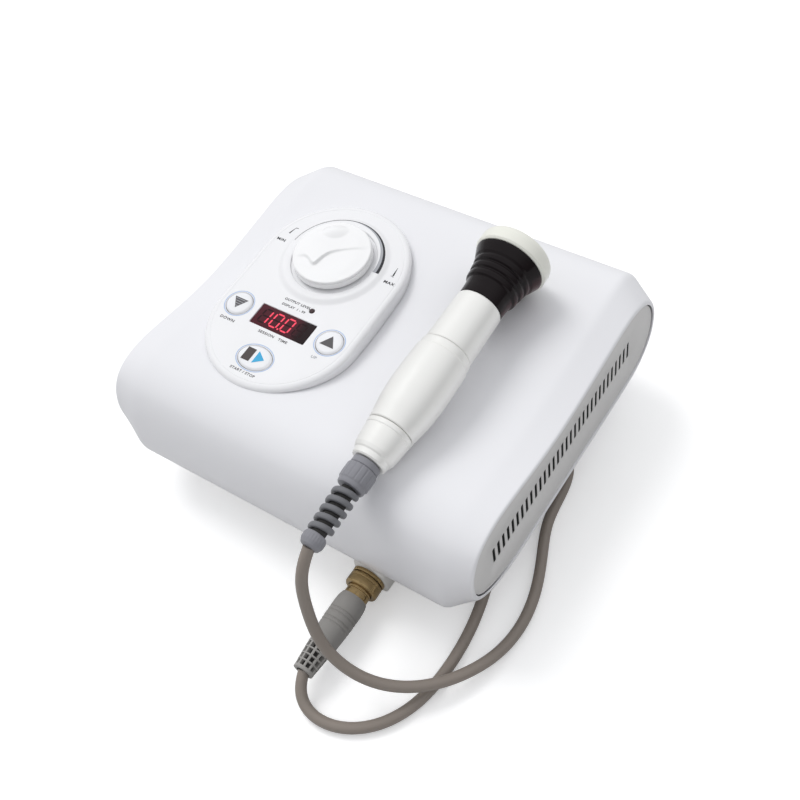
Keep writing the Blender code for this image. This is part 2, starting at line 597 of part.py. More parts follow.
# ---- front socket and plug, about an axis that points forward (-Y) -----------
# (radius, distance forward of the socket boss's face)
SOCKET_PROFILE = [(6.2, 5.8), (7.7, 5.8), (7.7, 2.3), (9.1, 2.3), (9.1, 0.3), (5.9, 0.3),
                  (5.9, -9.0), (4.6, -9.0), (4.6, 0.9), (6.2, 0.9)]
SOCKET_NUT_PROFILE = [(6.2, -5.0), (7.2, -5.0), (7.2, -2.6), (6.2, -2.6)]
PLUG_SHELL_PROFILE = [(4.9, 1.3), (5.9, 1.3), (5.9, 6.1), (7.5, 6.1), (7.5, 7.0), (6.5, 7.0),
                      (6.5, 19.0), (4.9, 19.0)]
COUPLING_PROFILE = [(8.0, 2.6), (9.0, 2.6), (9.0, 8.5), (8.4, 9.1), (6.8, 9.1), (6.8, 7.3),
                    (8.0, 7.3)]
PLUG_BODY_PROFILE = [(3.3, 19.4), (6.8, 19.4), (6.8, 14.0), (7.2, 14.0), (7.8, 17.0),
                     (8.0, 20.0), (7.9, 24.0), (7.4, 24.4), (7.4, 25.2), (7.85, 25.6),
                     (7.75, 28.4), (7.3, 28.8), (7.3, 29.6), (7.7, 30.0), (7.2, 41.6),
                     (6.6, 42.2), (3.3, 42.2)]
CONTACTS = [polar(2.2, 2 * math.pi * k / 4 + 0.4) for k in range(4)]
SHELL_HOLE_TURN = 0.5


def plug_relief_profile():
    """Four shrinking collars, then a plain end."""
    profile = [(3.3, 42.5), (6.6, 42.5)]
    for k in range(4):
        start = 44.0 + 3.3 * k
        radius = 6.7 - 0.34 * k
        profile += [(radius, start), (radius - 0.15, start + 1.6),
                    (radius - 1.2, start + 1.9), (radius - 1.35, start + 3.0)]
    return profile + [(5.4, 57.2), (5.3, 58.4), (3.3, 58.4)]


def build_socket(plug_axis):
    make('panel_socket', lathe(SOCKET_PROFILE, 18), SILVER, parent=plug_axis)
    make('socket_nut', lathe(SOCKET_NUT_PROFILE, 16), STEEL, parent=plug_axis)
    insert = make('socket_insert', rods((0, 0, 4.3, -8.0, -1.0), segments=14), BLACK,
                  parent=plug_axis)
    join(insert, 'socket_pins', rods(*[(x, y, 0.75, -5.0, 5.0) for x, y in CONTACTS]),
         parent=plug_axis)


def build_plug(plug_axis):
    shell = make('plug_shell', lathe(PLUG_SHELL_PROFILE, 18), BRASS, parent=plug_axis)
    for name, turn in (('shell_holes', 0), ('shell_holes_b', math.pi / 2)):
        cut(shell, name, lathe(rod_profile(0.9, -9, 9), 8), parent=plug_axis,
            at=(0, 0, 11.4), turn=(math.pi / 2, 0, SHELL_HOLE_TURN + turn))
    insert = make('plug_insert', rods((0, 0, 4.6, 1.6, 9.0), segments=14), BLACK,
                  parent=plug_axis)
    cut(insert, 'contact_holes', rods(*[(x, y, 1.1, 0.0, 6.0) for x, y in CONTACTS]),
        parent=plug_axis)
    make('coupling_ring', lathe(COUPLING_PROFILE, 22), BRASS, parent=plug_axis)
    make('plug_body', lathe(PLUG_BODY_PROFILE, 18), LIGHT_GREY, parent=plug_axis)
    make('plug_strain_relief', lathe(plug_relief_profile(), 16), LIGHT_GREY, parent=plug_axis)


# ---- lead: plug, under the console's right side, up to the handpiece ---------
CABLE_R = 3.0
CABLE_SEGMENTS = 7
CABLE_STEP = 11.0
HAND_DIRECTION = Vector((math.sin(HAND_YAW) * math.cos(HAND_TILT),
                         math.cos(HAND_YAW) * math.cos(HAND_TILT), math.sin(HAND_TILT)))
LEAD_END = Vector(HAND_AT) + HAND_DIRECTION * -64.5
# (x, y, z) of the centre line
LEAD_ROUTE = [
    (PLUG_X, PLUG_Y - 58.8, PLUG_Z), (PLUG_X + 0.4, -160, 11.5), (51, -165, 6),
    (57, -168.2, 3.6), (66, -169, 3.3), (77, -166.5, 3.3), (87, -160, 3.3), (95, -151, 3.3),
    (101, -139, 3.3), (104, -125, 3.3), (105, -106, 3.3), (103.5, -88, 3.3), (99, -68, 3.3),
    (89, -38, 3.3), (81, -12, 3.3), (80, 8, 3.3), (86, 21, 3.3), (95, 24, 3.3),
    (103, 15, 3.3), (106, -2, 3.3), (107, -20, 3.3), (114.5, -38, 3.3), (122, -58, 3.3),
    (125, -78, 3.6), (123, -96, 5), (117, -111, 7.5), (109, -124, 10.6), (99, -134.5, 13.5),
    (87, -142, 17.5), (75, -146, 24), (63, -146.5, 33), (55.2, -144.3, 43),
    (51.0, -140.6, 54), (48.5, -137.9, 65), (47.7, -135.4, 76), (47.5, -132.0, 84.0),
    (47.1, -128.6, 88.1), tuple(LEAD_END)]


def tube(points, radius, segments):
    """Sweeps a circle along the points with a frame carried without twist."""
    last = len(points) - 1
    tangents = [(points[min(i + 1, last)] - points[max(i - 1, 0)]).normalized()
                for i in range(len(points))]
    normal = Vector((0, 0, 1)).cross(tangents[0]).normalized()
    section = [polar(radius, 2 * math.pi * k / segments) for k in range(segments)]
    rings = []
    for point, tangent in zip(points, tangents):
        normal = (normal - tangent * normal.dot(tangent)).normalized()
        side = tangent.cross(normal)
        rings.append([point + normal * x + side * y for x, y in section])
    return rings_mesh(rings)


def build_cable():
    path = open_curve(LEAD_ROUTE, CABLE_STEP)
    make('cable', tube(path, CABLE_R, CABLE_SEGMENTS), CABLE_GREY, smooth=60)


# ---- handpiece, turned about its own axis, which points back to the head -----
# (radius, distance along the axis)
HEAD_PROFILE = [(17.2, 111.2), (19.1, 111.2), (19.8, 112.0), (19.8, 117.2), (19.1, 119.6),
                (17.0, 121.2), (11.7, 121.8), (0, 122.0), (0, 119.8), (15.6, 119.4),
                (17.2, 118.0)]
SEAL_SECTION = [polar(1.2, 2 * math.pi * k / 6) for k in range(6)]
SEAL_PROFILE = [(15.5 + out, 115.4 + along) for out, along in SEAL_SECTION]
NECK_PROFILE = [(9.4, 75.4), (11.1, 75.4), (11.1, 82.7), (12.2, 82.7), (12.4, 88.5),
                (12.8, 92.2), (14.0, 93.0), (14.2, 95.5), (13.6, 96.1), (13.8, 97.1),
                (14.7, 97.7), (14.9, 99.8), (14.3, 100.4), (14.5, 101.3), (15.5, 101.9),
                (16.0, 103.7), (17.3, 107.0), (18.5, 109.6), (18.9, 110.9), (16.9, 110.9),
                (16.9, 113.8), (13.0, 113.8), (9.4, 107.0)]
FRONT_BARREL_PROFILE = [(11.4, 52.6), (12.8, 52.6), (12.9, 55.0), (12.5, 79.0), (12.2, 82.4),
                        (11.4, 82.4)]
MID_BARREL_PROFILE = [(10.9, 3.2), (12.2, 3.2), (12.5, 6.0), (13.9, 14.0), (14.6, 24.0),
                      (14.65, 32.0), (14.3, 44.0), (14.15, 47.4), (13.6, 47.9), (13.5, 51.0),
                      (13.4, 51.8), (13.0, 52.3), (11.1, 52.3), (11.1, 59.0), (10.0, 59.0),
                      (10.0, 38.0), (10.9, 18.0)]
REAR_CAP_PROFILE = [(6.2, -16.0), (8.7, -16.0), (9.1, -15.2), (9.3, -12.6), (10.2, -11.8),
                    (10.9, -9.5), (11.6, -3.0), (12.0, 2.9), (10.6, 2.9), (10.6, 7.5),
                    (9.4, 7.5), (8.2, -9.0), (6.2, -9.0)]
GLAND_PROFILE = [(4.2, -31.0), (6.6, -31.0), (7.3, -29.6), (7.8, -28.4), (7.8, -20.8),
                 (7.0, -20.2), (7.2, -19.7), (7.2, -16.3), (5.9, -16.3), (5.9, -10.0),
                 (4.2, -10.0)]


def hand_relief_profile():
    """Five collars on a core, then a plain end."""
    profile = [(0, -31.3), (4.0, -31.3)]
    for k in range(5):
        start = -32.9 - 4.8 * k
        radius = 6.5 - 0.13 * k
        profile += [(radius - 0.5, start), (radius, start - 0.8), (radius, start - 2.0),
                    (radius - 0.5, start - 2.8), (3.9, start - 3.1), (3.9, start - 4.5)]
    return profile + [(5.0, -57.0), (5.7, -58.2), (5.7, -61.8), (4.8, -63.7), (0, -63.9)]


# name, profile, look, segments
HAND_PIECES = (
    ('treatment_head', HEAD_PROFILE, HEAD_CREAM, 24),
    ('piezo_disc', rod_profile(12.5, 116.9, 119.1), CERAMIC, 16),
    ('head_seal', SEAL_PROFILE, RUBBER, 18),
    ('neck', NECK_PROFILE, NECK_RED, 22),
    ('front_barrel', FRONT_BARREL_PROFILE, SILVER, 22),
    ('mid_barrel', MID_BARREL_PROFILE, SILVER, 22),
    ('rear_cap', REAR_CAP_PROFILE, SILVER, 22),
    ('gland_nut', GLAND_PROFILE, GREY, 16),
    ('handpiece_strain_relief', hand_relief_profile(), GREY, 14))


def build_handpiece():
    hand_frame = frame('handpiece_axis', HAND_AT, (HAND_TILT - math.pi / 2, 0, -HAND_YAW))
    for name, profile, look, segments in HAND_PIECES:
        make(name, lathe(profile, segments), look, parent=hand_frame)


# ---- the whole device --------------------------------------------------------
def build_device():
    panel_frame = frame('panel_frame', PANEL_AT, (PANEL_TILT, 0, 0))
    build_upper_housing(panel_frame)
    build_side_caps()
    build_base_pan()
    build_screws_and_feet()
    build_control_panel(panel_frame)
    build_display(panel_frame)
    build_keys(panel_frame)
    knob_frame = frame('knob_axis', (0, KNOB_Y, 0), parent=panel_frame)
    build_potentiometer(knob_frame)
    build_knob(knob_frame)
    build_power_parts()
    build_heat_sink()
    build_output_coil()
    build_mains_inlet()
    build_fuse_drawer()
    build_rocker_switch()
    plug_axis = frame('plug_axis', (PLUG_X, PLUG_Y, PLUG_Z), (math.pi / 2, 0, 0))
    build_socket(plug_axis)
    build_plug(plug_axis)
    build_cable()
    build_handpiece()


def centre_device():
    """Moves everything from the console's middle to the device's middle."""
    for item in bpy.data.objects:
        if item.parent is None:
            item.location.x += ORIGIN_X * MM
            item.location.y += ORIGIN_Y * MM


for item in list(bpy.data.objects):
    bpy.data.objects.remove(item, do_unlink=True)
build_device()
centre_device()
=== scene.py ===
"""A white bench-top console with an oval control panel, and a handpiece lying on its top.

Everything is drawn in millimetres about the console's middle, on the floor: +X right,
+Y to the rear, +Z up. The handpiece points to the rear; its lead plugs into the front.
"""
import bpy
import bmesh
import json
import math
import numpy as np
from mathutils import Matrix, Vector


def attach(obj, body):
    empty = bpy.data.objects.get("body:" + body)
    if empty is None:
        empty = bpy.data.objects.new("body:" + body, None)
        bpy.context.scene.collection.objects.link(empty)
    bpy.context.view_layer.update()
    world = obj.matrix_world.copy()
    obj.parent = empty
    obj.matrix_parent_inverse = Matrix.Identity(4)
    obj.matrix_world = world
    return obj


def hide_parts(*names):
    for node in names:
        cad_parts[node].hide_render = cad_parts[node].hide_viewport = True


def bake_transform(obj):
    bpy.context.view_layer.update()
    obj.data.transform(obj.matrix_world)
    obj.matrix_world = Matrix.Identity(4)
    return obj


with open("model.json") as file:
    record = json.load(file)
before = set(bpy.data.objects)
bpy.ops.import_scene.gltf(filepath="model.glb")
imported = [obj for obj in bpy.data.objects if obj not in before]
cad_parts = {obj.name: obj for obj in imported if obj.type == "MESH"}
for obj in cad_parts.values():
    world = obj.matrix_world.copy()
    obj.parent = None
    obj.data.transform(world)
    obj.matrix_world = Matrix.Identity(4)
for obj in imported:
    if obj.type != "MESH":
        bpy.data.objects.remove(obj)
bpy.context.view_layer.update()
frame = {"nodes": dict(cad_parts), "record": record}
MM = 0.001
SHIFT = Vector((-8.6, 36.0, 0.0))       # from the console's middle to the row's origin

# ---- driving dimensions, mm --------------------------------------------------
HALF_WIDTH = 110.5
CREASE_X = 96.5         # where the housing starts to narrow towards its end rims
CREASE_SOFT = 2.4       # half the width over which that crease is rounded
EDGE_ROUND = 1.0
SHELL_T = 2.6
RIM_T = 2.0
CAP_OUT, CAP_T = 109.7, 2.4
REAR_Y = 94.2           # floor of the rear pocket
BAY_Z = 52.0            # middle height of the inlet and the switch

VENTS, VENT_PITCH, VENT_Y0 = 32, 4.413, -72.6
VENT_W, VENT_Z0, VENT_Z1 = 2.2, 47.8, 60.2

# The panel's frame: u to the right, v to the rear, height off its face
PANEL_TILT = math.radians(2.5)
PANEL_R, PANEL_V0, PANEL_V1 = 43.0, -11.0, 32.0
KNOB_V = 35.0
MOUND_R, MOUND_H = 31.2, 1.5
WINDOW_V, WINDOW_W, WINDOW_H = -12.4, 34.8, 13.0
LED_U, LED_V = 9.1, 1.2
KEY_U, KEY_V, KEY_R, KEY_GAP = 29.6, -11.8, 7.2, 0.35
START_V, START_HALF_W = -37.0, 9.8
PRINT_LIFT = 0.025

# name, body, u, v, half width, points round its well
KEYS = (
    ('down_button', 'down_key', -KEY_U, KEY_V, KEY_R, 64),
    ('up_button', 'up_key', KEY_U, KEY_V, KEY_R, 64),
    ('start_stop_button', 'start_stop_key', 0.0, START_V, START_HALF_W, 72),
)

SOCKET_X, SOCKET_Y, SOCKET_Z = 48.0, -96.5, 13.8
HAND_TILT, HAND_YAW = math.radians(4.9), math.radians(0.95)

# Housing outlines as (y, z), from the bottom front over the top to the back
MIDDLE_OUTLINE = [
    (-87, 23), (-94, 25.5), (-98.5, 31), (-100, 39), (-99, 48.5), (-96.7, 58), (-93.5, 66.5),
    (-88.5, 73.8), (-81, 78.8), (-71.4, 81.4), (-61, 81.8), (-47, 80.2), (-31, 78.3),
    (-11, 77.2), (7, 78.0), (26, 80.2), (44, 82.9), (61, 84.8), (75, 85.2), (85.5, 83.2),
    (94, 77.2), (99, 68), (100.8, 56), (98.6, 42), (92.3, 30.5), (83, 25), (71, 23),
    (10, 23), (-42, 23), (-70, 23)]
RIM_OUTLINE = [
    (-72, 27.2), (-80, 30.5), (-87.5, 35.8), (-92, 42.5), (-93.7, 50.5), (-93.3, 60),
    (-90.6, 68.2), (-86, 74.4), (-79.5, 78.1), (-71, 79.9), (-61, 80), (-47, 78.2),
    (-31, 75.9), (-11, 74.2), (7, 74.6), (25, 76.1), (42, 77.8), (57, 79.2), (69.5, 78.6),
    (79.5, 75.4), (87.5, 69.2), (92.6, 61), (95, 52), (94, 41.5), (89.5, 33), (81.5, 27),
    (70, 23.8), (10, 23.6), (-42, 23.6), (-60, 24.5)]

move = Matrix.Translation
turn = Matrix.Rotation
PANEL = move((-43.3, -11.0, 86.5)) @ turn(PANEL_TILT, 4, 'X')
KNOB = PANEL @ move((0, KNOB_V, 0))
# Local Z runs forward out of the socket
PLUG = move((SOCKET_X, SOCKET_Y, SOCKET_Z)) @ turn(math.pi / 2, 4, 'X')
# Local Z runs to the rear, towards the head
HAND = (move((48.3, -61.0, 94.4)) @ turn(-HAND_YAW, 4, 'Z')
        @ turn(HAND_TILT - math.pi / 2, 4, 'X'))


# ---- finishes ----------------------------------------------------------------
def feed(tree, node, sockets):
    """Sets each input of a node to a value, or links it to another node's output."""
    for key, value in sockets.items():
        if isinstance(value, bpy.types.NodeSocket):
            tree.links.new(value, node.inputs[key])
        else:
            node.inputs[key].default_value = value


def add_node(tree, kind, sockets=None, **settings):
    node = tree.nodes.new('ShaderNode' + kind)
    for key, value in settings.items():
        setattr(node, key, value)
    feed(tree, node, sockets or {})
    return node


def object_coords(tree):
    return add_node(tree, 'TexCoord').outputs['Object']


def principled(mat):
    return mat.node_tree.nodes['Principled BSDF']


def finish(name, colour, rough, metal=0.0, vary=0.03, gloss_spread=0.18, bump=0.0, grain=900.0,
           stretch=(1, 1, 1), coat=0.0, glow=None, glow_strength=1.0, side=None, level=0.5):
    """A broad noise carries the colour and gloss a little, and a fine grain bumps the surface."""
    mat = bpy.data.materials.new(name)
    mat.use_nodes = True
    tree = mat.node_tree
    bsdf = principled(mat)
    coords = object_coords(tree)
    broad = add_node(tree, 'TexNoise', {'Scale': 28.0, 'Detail': 3.0, 'Vector': coords})
    broad = broad.outputs['Fac']
    tone = add_node(tree, 'Mix', {
        'A': (*[max(0.0, c * (1 - vary)) for c in colour], 1),
        'B': (*[min(1.0, c * (1 + vary)) for c in colour], 1),
        'Factor': broad}, data_type='RGBA').outputs['Result']
    # side paints light or shade: a second colour on the faces that look one way
    if side:
        tone = paint_facing_light(tree, tone, **side)
    gloss = add_node(tree, 'MapRange', {
        'To Min': max(0.02, rough * (1 - gloss_spread)),
        'To Max': min(1.0, rough * (1 + gloss_spread)),
        'Value': broad})
    feed(tree, bsdf, {
        'Base Color': tone, 'Roughness': gloss.outputs['Result'], 'Metallic': metal,
        'Coat Weight': coat, 'Coat Roughness': 0.08, 'Specular IOR Level': level})
    if bump:
        mapping = add_node(tree, 'Mapping', {'Scale': stretch, 'Vector': coords})
        fine = add_node(tree, 'TexNoise', {
            'Scale': grain, 'Detail': 2.0, 'Vector': mapping.outputs['Vector']})
        add_bump(mat, fine.outputs['Fac'], strength=bump, distance=0.0001)
    if glow:
        feed(tree, bsdf, {'Emission Color': (*glow, 1), 'Emission Strength': glow_strength})
    mat.diffuse_color = (*colour, 1)
    return mat


def paint_facing_light(tree, tone, towards, painted_colour, start, end):
    """Paints light or shade: brings in a second colour where the surface faces one way."""
    normal = add_node(tree, 'NewGeometry').outputs['Normal']
    facing = add_node(tree, 'VectorMath', {1: Vector(towards).normalized(), 0: normal},
                      operation='DOT_PRODUCT')
    ramp = add_node(tree, 'MapRange', {
        'From Min': start, 'From Max': end, 'Value': facing.outputs['Value']},
        interpolation_type='SMOOTHSTEP')
    return add_node(tree, 'Mix', {
        'B': (*painted_colour, 1), 'Factor': ramp.outputs['Result'], 'A': tone},
        data_type='RGBA').outputs['Result']


def add_bump(mat, height, strength, distance):
    tree = mat.node_tree
    node = add_node(tree, 'Bump', {'Strength': strength, 'Distance': distance, 'Height': height})
    feed(tree, principled(mat), {'Normal': node.outputs['Normal']})


def light_window(mat):
    """A dim red glow in the window that fades out towards its right end."""
    tree = mat.node_tree
    parts = add_node(tree, 'SeparateXYZ', {'Vector': object_coords(tree)})
    fade = add_node(tree, 'MapRange', {
        'From Min': 0.0125, 'From Max': 0.0060, 'Value': parts.outputs['X']},
        interpolation_type='SMOOTHSTEP')
    feed(tree, principled(mat), {
        'Emission Strength': fade.outputs['Result'],
        'Emission Color': (0.055, 0.004, 0.011, 1)})


def wind_coil(mat):
    """Bumps the copper in bands, as wound wire."""
    tree = mat.node_tree
    wave = add_node(tree, 'TexWave', {'Scale': 500, 'Vector': object_coords(tree)})
    add_bump(mat, wave.outputs['Fac'], strength=0.6, distance=0.0002)


FINISHES = dict(
    white_shell=dict(colour=(0.86, 0.86, 0.885), rough=0.32, vary=0.008, bump=0.02, coat=0.10),
    white_panel=dict(colour=(0.895, 0.895, 0.91), rough=0.22, vary=0.006, bump=0.012, coat=0.25),
    # near black: painted shade for the hollow's inside, the vents' walls and the caps' inner faces
    inside_painted_shade=dict(colour=(0.03, 0.03, 0.03), rough=0.6, vary=0.05, bump=0.05),
    cap_grey=dict(colour=(0.70, 0.69, 0.68), rough=0.45, vary=0.012, bump=0.10, level=0.35),
    pan_grey=dict(colour=(0.80, 0.785, 0.755), rough=0.5, vary=0.02, bump=0.15),
    screw_steel=dict(colour=(0.50, 0.50, 0.51), rough=0.32, metal=1.0, bump=0.1),
    foot_rubber=dict(colour=(0.035, 0.035, 0.037), rough=0.75, vary=0.1, bump=0.4),
    window_red=dict(colour=(0.010, 0.0015, 0.0025), rough=0.10, vary=0.4, level=0.30),
    black_plastic=dict(colour=(0.022, 0.022, 0.024), rough=0.38, vary=0.1, bump=0.25),
    led_lens=dict(colour=(0.03, 0.004, 0.006), rough=0.12, vary=0.2, coat=0.6),
    circuit_board=dict(colour=(0.02, 0.19, 0.07), rough=0.4, vary=0.25, bump=0.2),
    key_white=dict(colour=(0.89, 0.895, 0.92), rough=0.26, vary=0.008, bump=0.015, coat=0.2),
    knob_white=dict(colour=(0.95, 0.95, 0.955), rough=0.15, vary=0.006, bump=0.006, coat=0.6),
    steel=dict(colour=(0.6, 0.6, 0.6), rough=0.3, metal=1.0, bump=0.1),
    iron_core=dict(colour=(0.24, 0.24, 0.26), rough=0.45, metal=0.6, bump=0.5,
                   stretch=(1, 30, 1)),
    capacitor_sleeve=dict(colour=(0.03, 0.04, 0.12), rough=0.3, coat=0.3),
    sink_aluminium=dict(colour=(0.62, 0.62, 0.63), rough=0.4, metal=1.0, bump=0.3,
                        stretch=(1, 1, 20)),
    coil_copper=dict(colour=(0.35, 0.12, 0.04), rough=0.35, metal=0.8),
    fuse_glass=dict(colour=(0.65, 0.72, 0.72), rough=0.1, metal=0.2),
    socket_silver=dict(colour=(0.68, 0.66, 0.62), rough=0.3, metal=0.95, bump=0.08),
    brass=dict(colour=(0.42, 0.30, 0.145), rough=0.27, metal=0.95, vary=0.22, bump=0.14),
    plug_grey=dict(colour=(0.26, 0.25, 0.238), rough=0.5, vary=0.03, bump=0.25),
    relief_grey=dict(colour=(0.34, 0.33, 0.315), rough=0.5, vary=0.03, bump=0.25),
    # near black: painted shade seen between the strain reliefs' coils and ribs
    core_painted_shade=dict(colour=(0.035, 0.033, 0.032), rough=0.7, vary=0.1, bump=0.2),
    cable_taupe=dict(colour=(0.265, 0.228, 0.198), rough=0.40, vary=0.05, bump=0.10),
    head_cream=dict(colour=(0.86, 0.86, 0.785), rough=0.28, vary=0.02, bump=0.03, coat=0.15),
    ceramic=dict(colour=(0.7, 0.6, 0.45), rough=0.4, metal=0.3),
    # the side facing right and down gets painted red light, as if let through the neck's dark red
    # plastic
    neck_dark=dict(colour=(0.005, 0.002, 0.0028), rough=0.16, vary=0.3, level=0.22,
                   side=dict(towards=(0.80, -0.1, -0.6), painted_colour=(0.045, 0.0014, 0.004),
                             start=0.62, end=0.99)),
    # the side facing left and forward is painted darker: painted shade on the barrels
    barrel_silver=dict(colour=(0.96, 0.955, 0.925), rough=0.34, metal=0.38, vary=0.012,
                       gloss_spread=0.09, bump=0.05, grain=2500.0,
                       side=dict(towards=(-0.83, -0.50, -0.20), painted_colour=(0.70, 0.695, 0.67),
                                 start=0.25, end=0.95)),
    gland_grey=dict(colour=(0.255, 0.255, 0.280), rough=0.42, vary=0.06, bump=0.30, grain=1400.0),
    relief_dark=dict(colour=(0.17, 0.172, 0.185), rough=0.40, vary=0.06, bump=0.2),
    print_black=dict(colour=(0.02, 0.02, 0.025), rough=0.4, vary=0.2),
    print_grey=dict(colour=(0.10, 0.095, 0.10), rough=0.45, vary=0.15),
    # soft grey print, and also the dial's grey band of painted shade
    print_soft_and_painted_shade=dict(colour=(0.42, 0.43, 0.46), rough=0.4, vary=0.08),
    print_brown=dict(colour=(0.075, 0.060, 0.058), rough=0.45, vary=0.25),
    print_blue=dict(colour=(0.43, 0.55, 0.78), rough=0.4, vary=0.05),
    print_cyan=dict(colour=(0.05, 0.42, 0.72), rough=0.35, vary=0.10),
    digits_red=dict(colour=(0.6, 0.02, 0.04), rough=0.4, vary=0.05, glow=(0.56, 0.055, 0.10)),
    digits_off=dict(colour=(0.018, 0.003, 0.005), rough=0.3, vary=0.2, level=0.2),
    mark_white=dict(colour=(0.7, 0.7, 0.7), rough=0.5, vary=0.05),
)
LOOK = {name: finish(name, **values) for name, values in FINISHES.items()}
light_window(LOOK['window_red'])
wind_coil(LOOK['coil_copper'])


# ---- curves and outlines -----------------------------------------------------
def curve_span(before, start, end, after, count):
    """Samples a centripetal curve from start up to, but not at, end."""
    knots = [0.0]
    for near, far in ((before, start), (start, end), (end, after)):
        knots.append(knots[-1] + math.sqrt((far - near).length))

    def mix(near, far, low, high):
        return near.lerp(far, (t - knots[low]) / (knots[high] - knots[low]))

    samples = []
    for k in range(count):
        t = knots[1] + (knots[2] - knots[1]) * k / count
        first = mix(before, start, 0, 1)
        second = mix(start, end, 1, 2)
        third = mix(end, after, 2, 3)
        samples.append(mix(mix(first, second, 0, 2), mix(second, third, 1, 3), 1, 2))
    return samples


def closed_spline(points, count):
    """Closed curve through the points, with count samples on each span."""
    points = [Vector(p) for p in points]
    total = len(points)
    out = []
    for i in range(total):
        out += curve_span(*(points[(i + k) % total] for k in (-1, 0, 1, 2)), count)
    return out


def open_spline(points, step):
    """Open curve through the points, sampled about every step."""
    points = [Vector(p) for p in points]
    points = [points[0] * 2 - points[1]] + points + [points[-1] * 2 - points[-2]]
    out = []
    for i in range(1, len(points) - 2):
        count = max(1, round((points[i + 1] - points[i]).length / step))
        out += curve_span(*points[i - 1:i + 3], count)
    out.append(points[-2])
    return out


def relax(curve, times, closed=True):
    """Evens out the curvature of a curve and gives it as an array."""
    points = np.array([list(p) for p in curve], float)
    for _ in range(times):
        evened = (np.roll(points, 1, 0) + 2 * points + np.roll(points, -1, 0)) / 4
        if not closed:
            evened[0], evened[-1] = points[0], points[-1]
        points = evened
    return points


def inset(outline, depth):
    """Moves a housing outline inward."""
    tangent = np.roll(outline, -1, 0) - np.roll(outline, 1, 0)
    tangent /= np.linalg.norm(tangent, axis=1)[:, None]
    return outline + np.c_[tangent[:, 1], -tangent[:, 0]] * depth


def smooth_step(t):
    t = min(1.0, max(0.0, t))
    return t * t * (3 - 2 * t)


def quarter_turn(steps):
    """Angles from 0 to 90 degrees, both included."""
    return [math.pi / 2 * k / steps for k in range(steps + 1)]


def stadium(radius, arc_steps=48, side_steps=8):
    """The panel's oval outline, counter-clockwise, with its long axis along v."""
    arc = [math.pi * k / arc_steps for k in range(arc_steps + 1)]
    sides = [(PANEL_V1 - PANEL_V0) * k / side_steps for k in range(1, side_steps)]
    points = [(radius * math.cos(a), PANEL_V1 + radius * math.sin(a)) for a in arc]
    points += [(-radius, PANEL_V1 - s) for s in sides]
    points += [(-radius * math.cos(a), PANEL_V0 - radius * math.sin(a)) for a in arc]
    points += [(radius, PANEL_V0 + s) for s in sides]
    return points


def circle(radius, u=0.0, v=0.0, count=64, stretch=1.0):
    """A circle, stretched along u."""
    angles = [2 * math.pi * k / count for k in range(count)]
    return [(u + stretch * radius * math.cos(a), v + radius * math.sin(a)) for a in angles]


def ring(radius, height, count, stretch=1.0):
    return [(x, y, height) for x, y in circle(radius, count=count, stretch=stretch)]


def cut_ring(radius, height, cuts):
    """A ring with one point for each cut, which is its depth inside the radius."""
    points = []
    for k, cut in enumerate(cuts):
        angle = 2 * math.pi * k / len(cuts)
        points.append(((radius - cut) * math.cos(angle), (radius - cut) * math.sin(angle), height))
    return points


def rounded_rect(u, v, width, height, radius, steps=6):
    across, along = width / 2 - radius, height / 2 - radius
    points = []
    corners = ((across, along), (-across, along), (-across, -along), (across, -along))
    for i, (x, y) in enumerate(corners):
        for k in range(steps + 1):
            a = math.radians(90 * i + 90 * k / steps)
            points.append((u + x + radius * math.cos(a), v + y + radius * math.sin(a)))
    return points


def fillet(profile, steps=5):
    """Rounds the corners of an open (radius, height[, fillet]) line."""
    corners = [(Vector(p[:2]), p[2] if len(p) > 2 else 0.0) for p in profile]
    out = []
    for i, (corner, size) in enumerate(corners):
        if size <= 0 or i in (0, len(corners) - 1):
            out.append((corner.x, corner.y))
            continue
        back, onward = corners[i - 1][0] - corner, corners[i + 1][0] - corner
        back_length, onward_length = back.length, onward.length
        back.normalize()
        onward.normalize()
        angle = math.acos(max(-1.0, min(1.0, back.dot(onward))))
        if angle > math.pi - 0.02:
            out.append((corner.x, corner.y))
            continue
        reach = min(size / math.tan(angle / 2), 0.48 * back_length, 0.48 * onward_length)
        radius = reach * math.tan(angle / 2)
        centre = corner + (back + onward).normalized() * (radius / math.sin(angle / 2))
        start, end = corner + back * reach - centre, corner + onward * reach - centre
        arc = math.acos(max(-1.0, min(1.0, start.dot(end) / (start.length * end.length))))
        if start.x * end.y - start.y * end.x < 0:
            arc = -arc
        for k in range(steps + 1):
            t = arc * k / steps
            out.append((centre.x + start.x * math.cos(t) - start.y * math.sin(t),
                        centre.y + start.x * math.sin(t) + start.y * math.cos(t)))
    return out


# ---- mesh helpers ------------------------------------------------------------
def skin(mesh, rows, wrap=False, around=True, mat=0):
    """Quads between equal rows of points. wrap joins the last row to the first."""
    verts = [[mesh.verts.new(p) for p in row] for row in rows]
    for low, high in list(zip(verts, verts[1:])) + ([(verts[-1], verts[0])] if wrap else []):
        count = len(low)
        for i in range(count if around else count - 1):
            j = (i + 1) % count
            mesh.faces.new((low[i], low[j], high[j], high[i])).material_index = mat
    return verts


def close_ring(mesh, verts, mat=0):
    """A fan of triangles over a ring."""
    centre = mesh.verts.new(sum((v.co for v in verts), Vector()) / len(verts))
    for i in range(len(verts)):
        face = mesh.faces.new((verts[i], verts[(i + 1) % len(verts)], centre))
        face.material_index = mat


def solid(mesh, rows, mat=0):
    """A skin closed at both ends."""
    verts = skin(mesh, rows, mat=mat)
    close_ring(mesh, verts[0], mat)
    close_ring(mesh, verts[-1], mat)


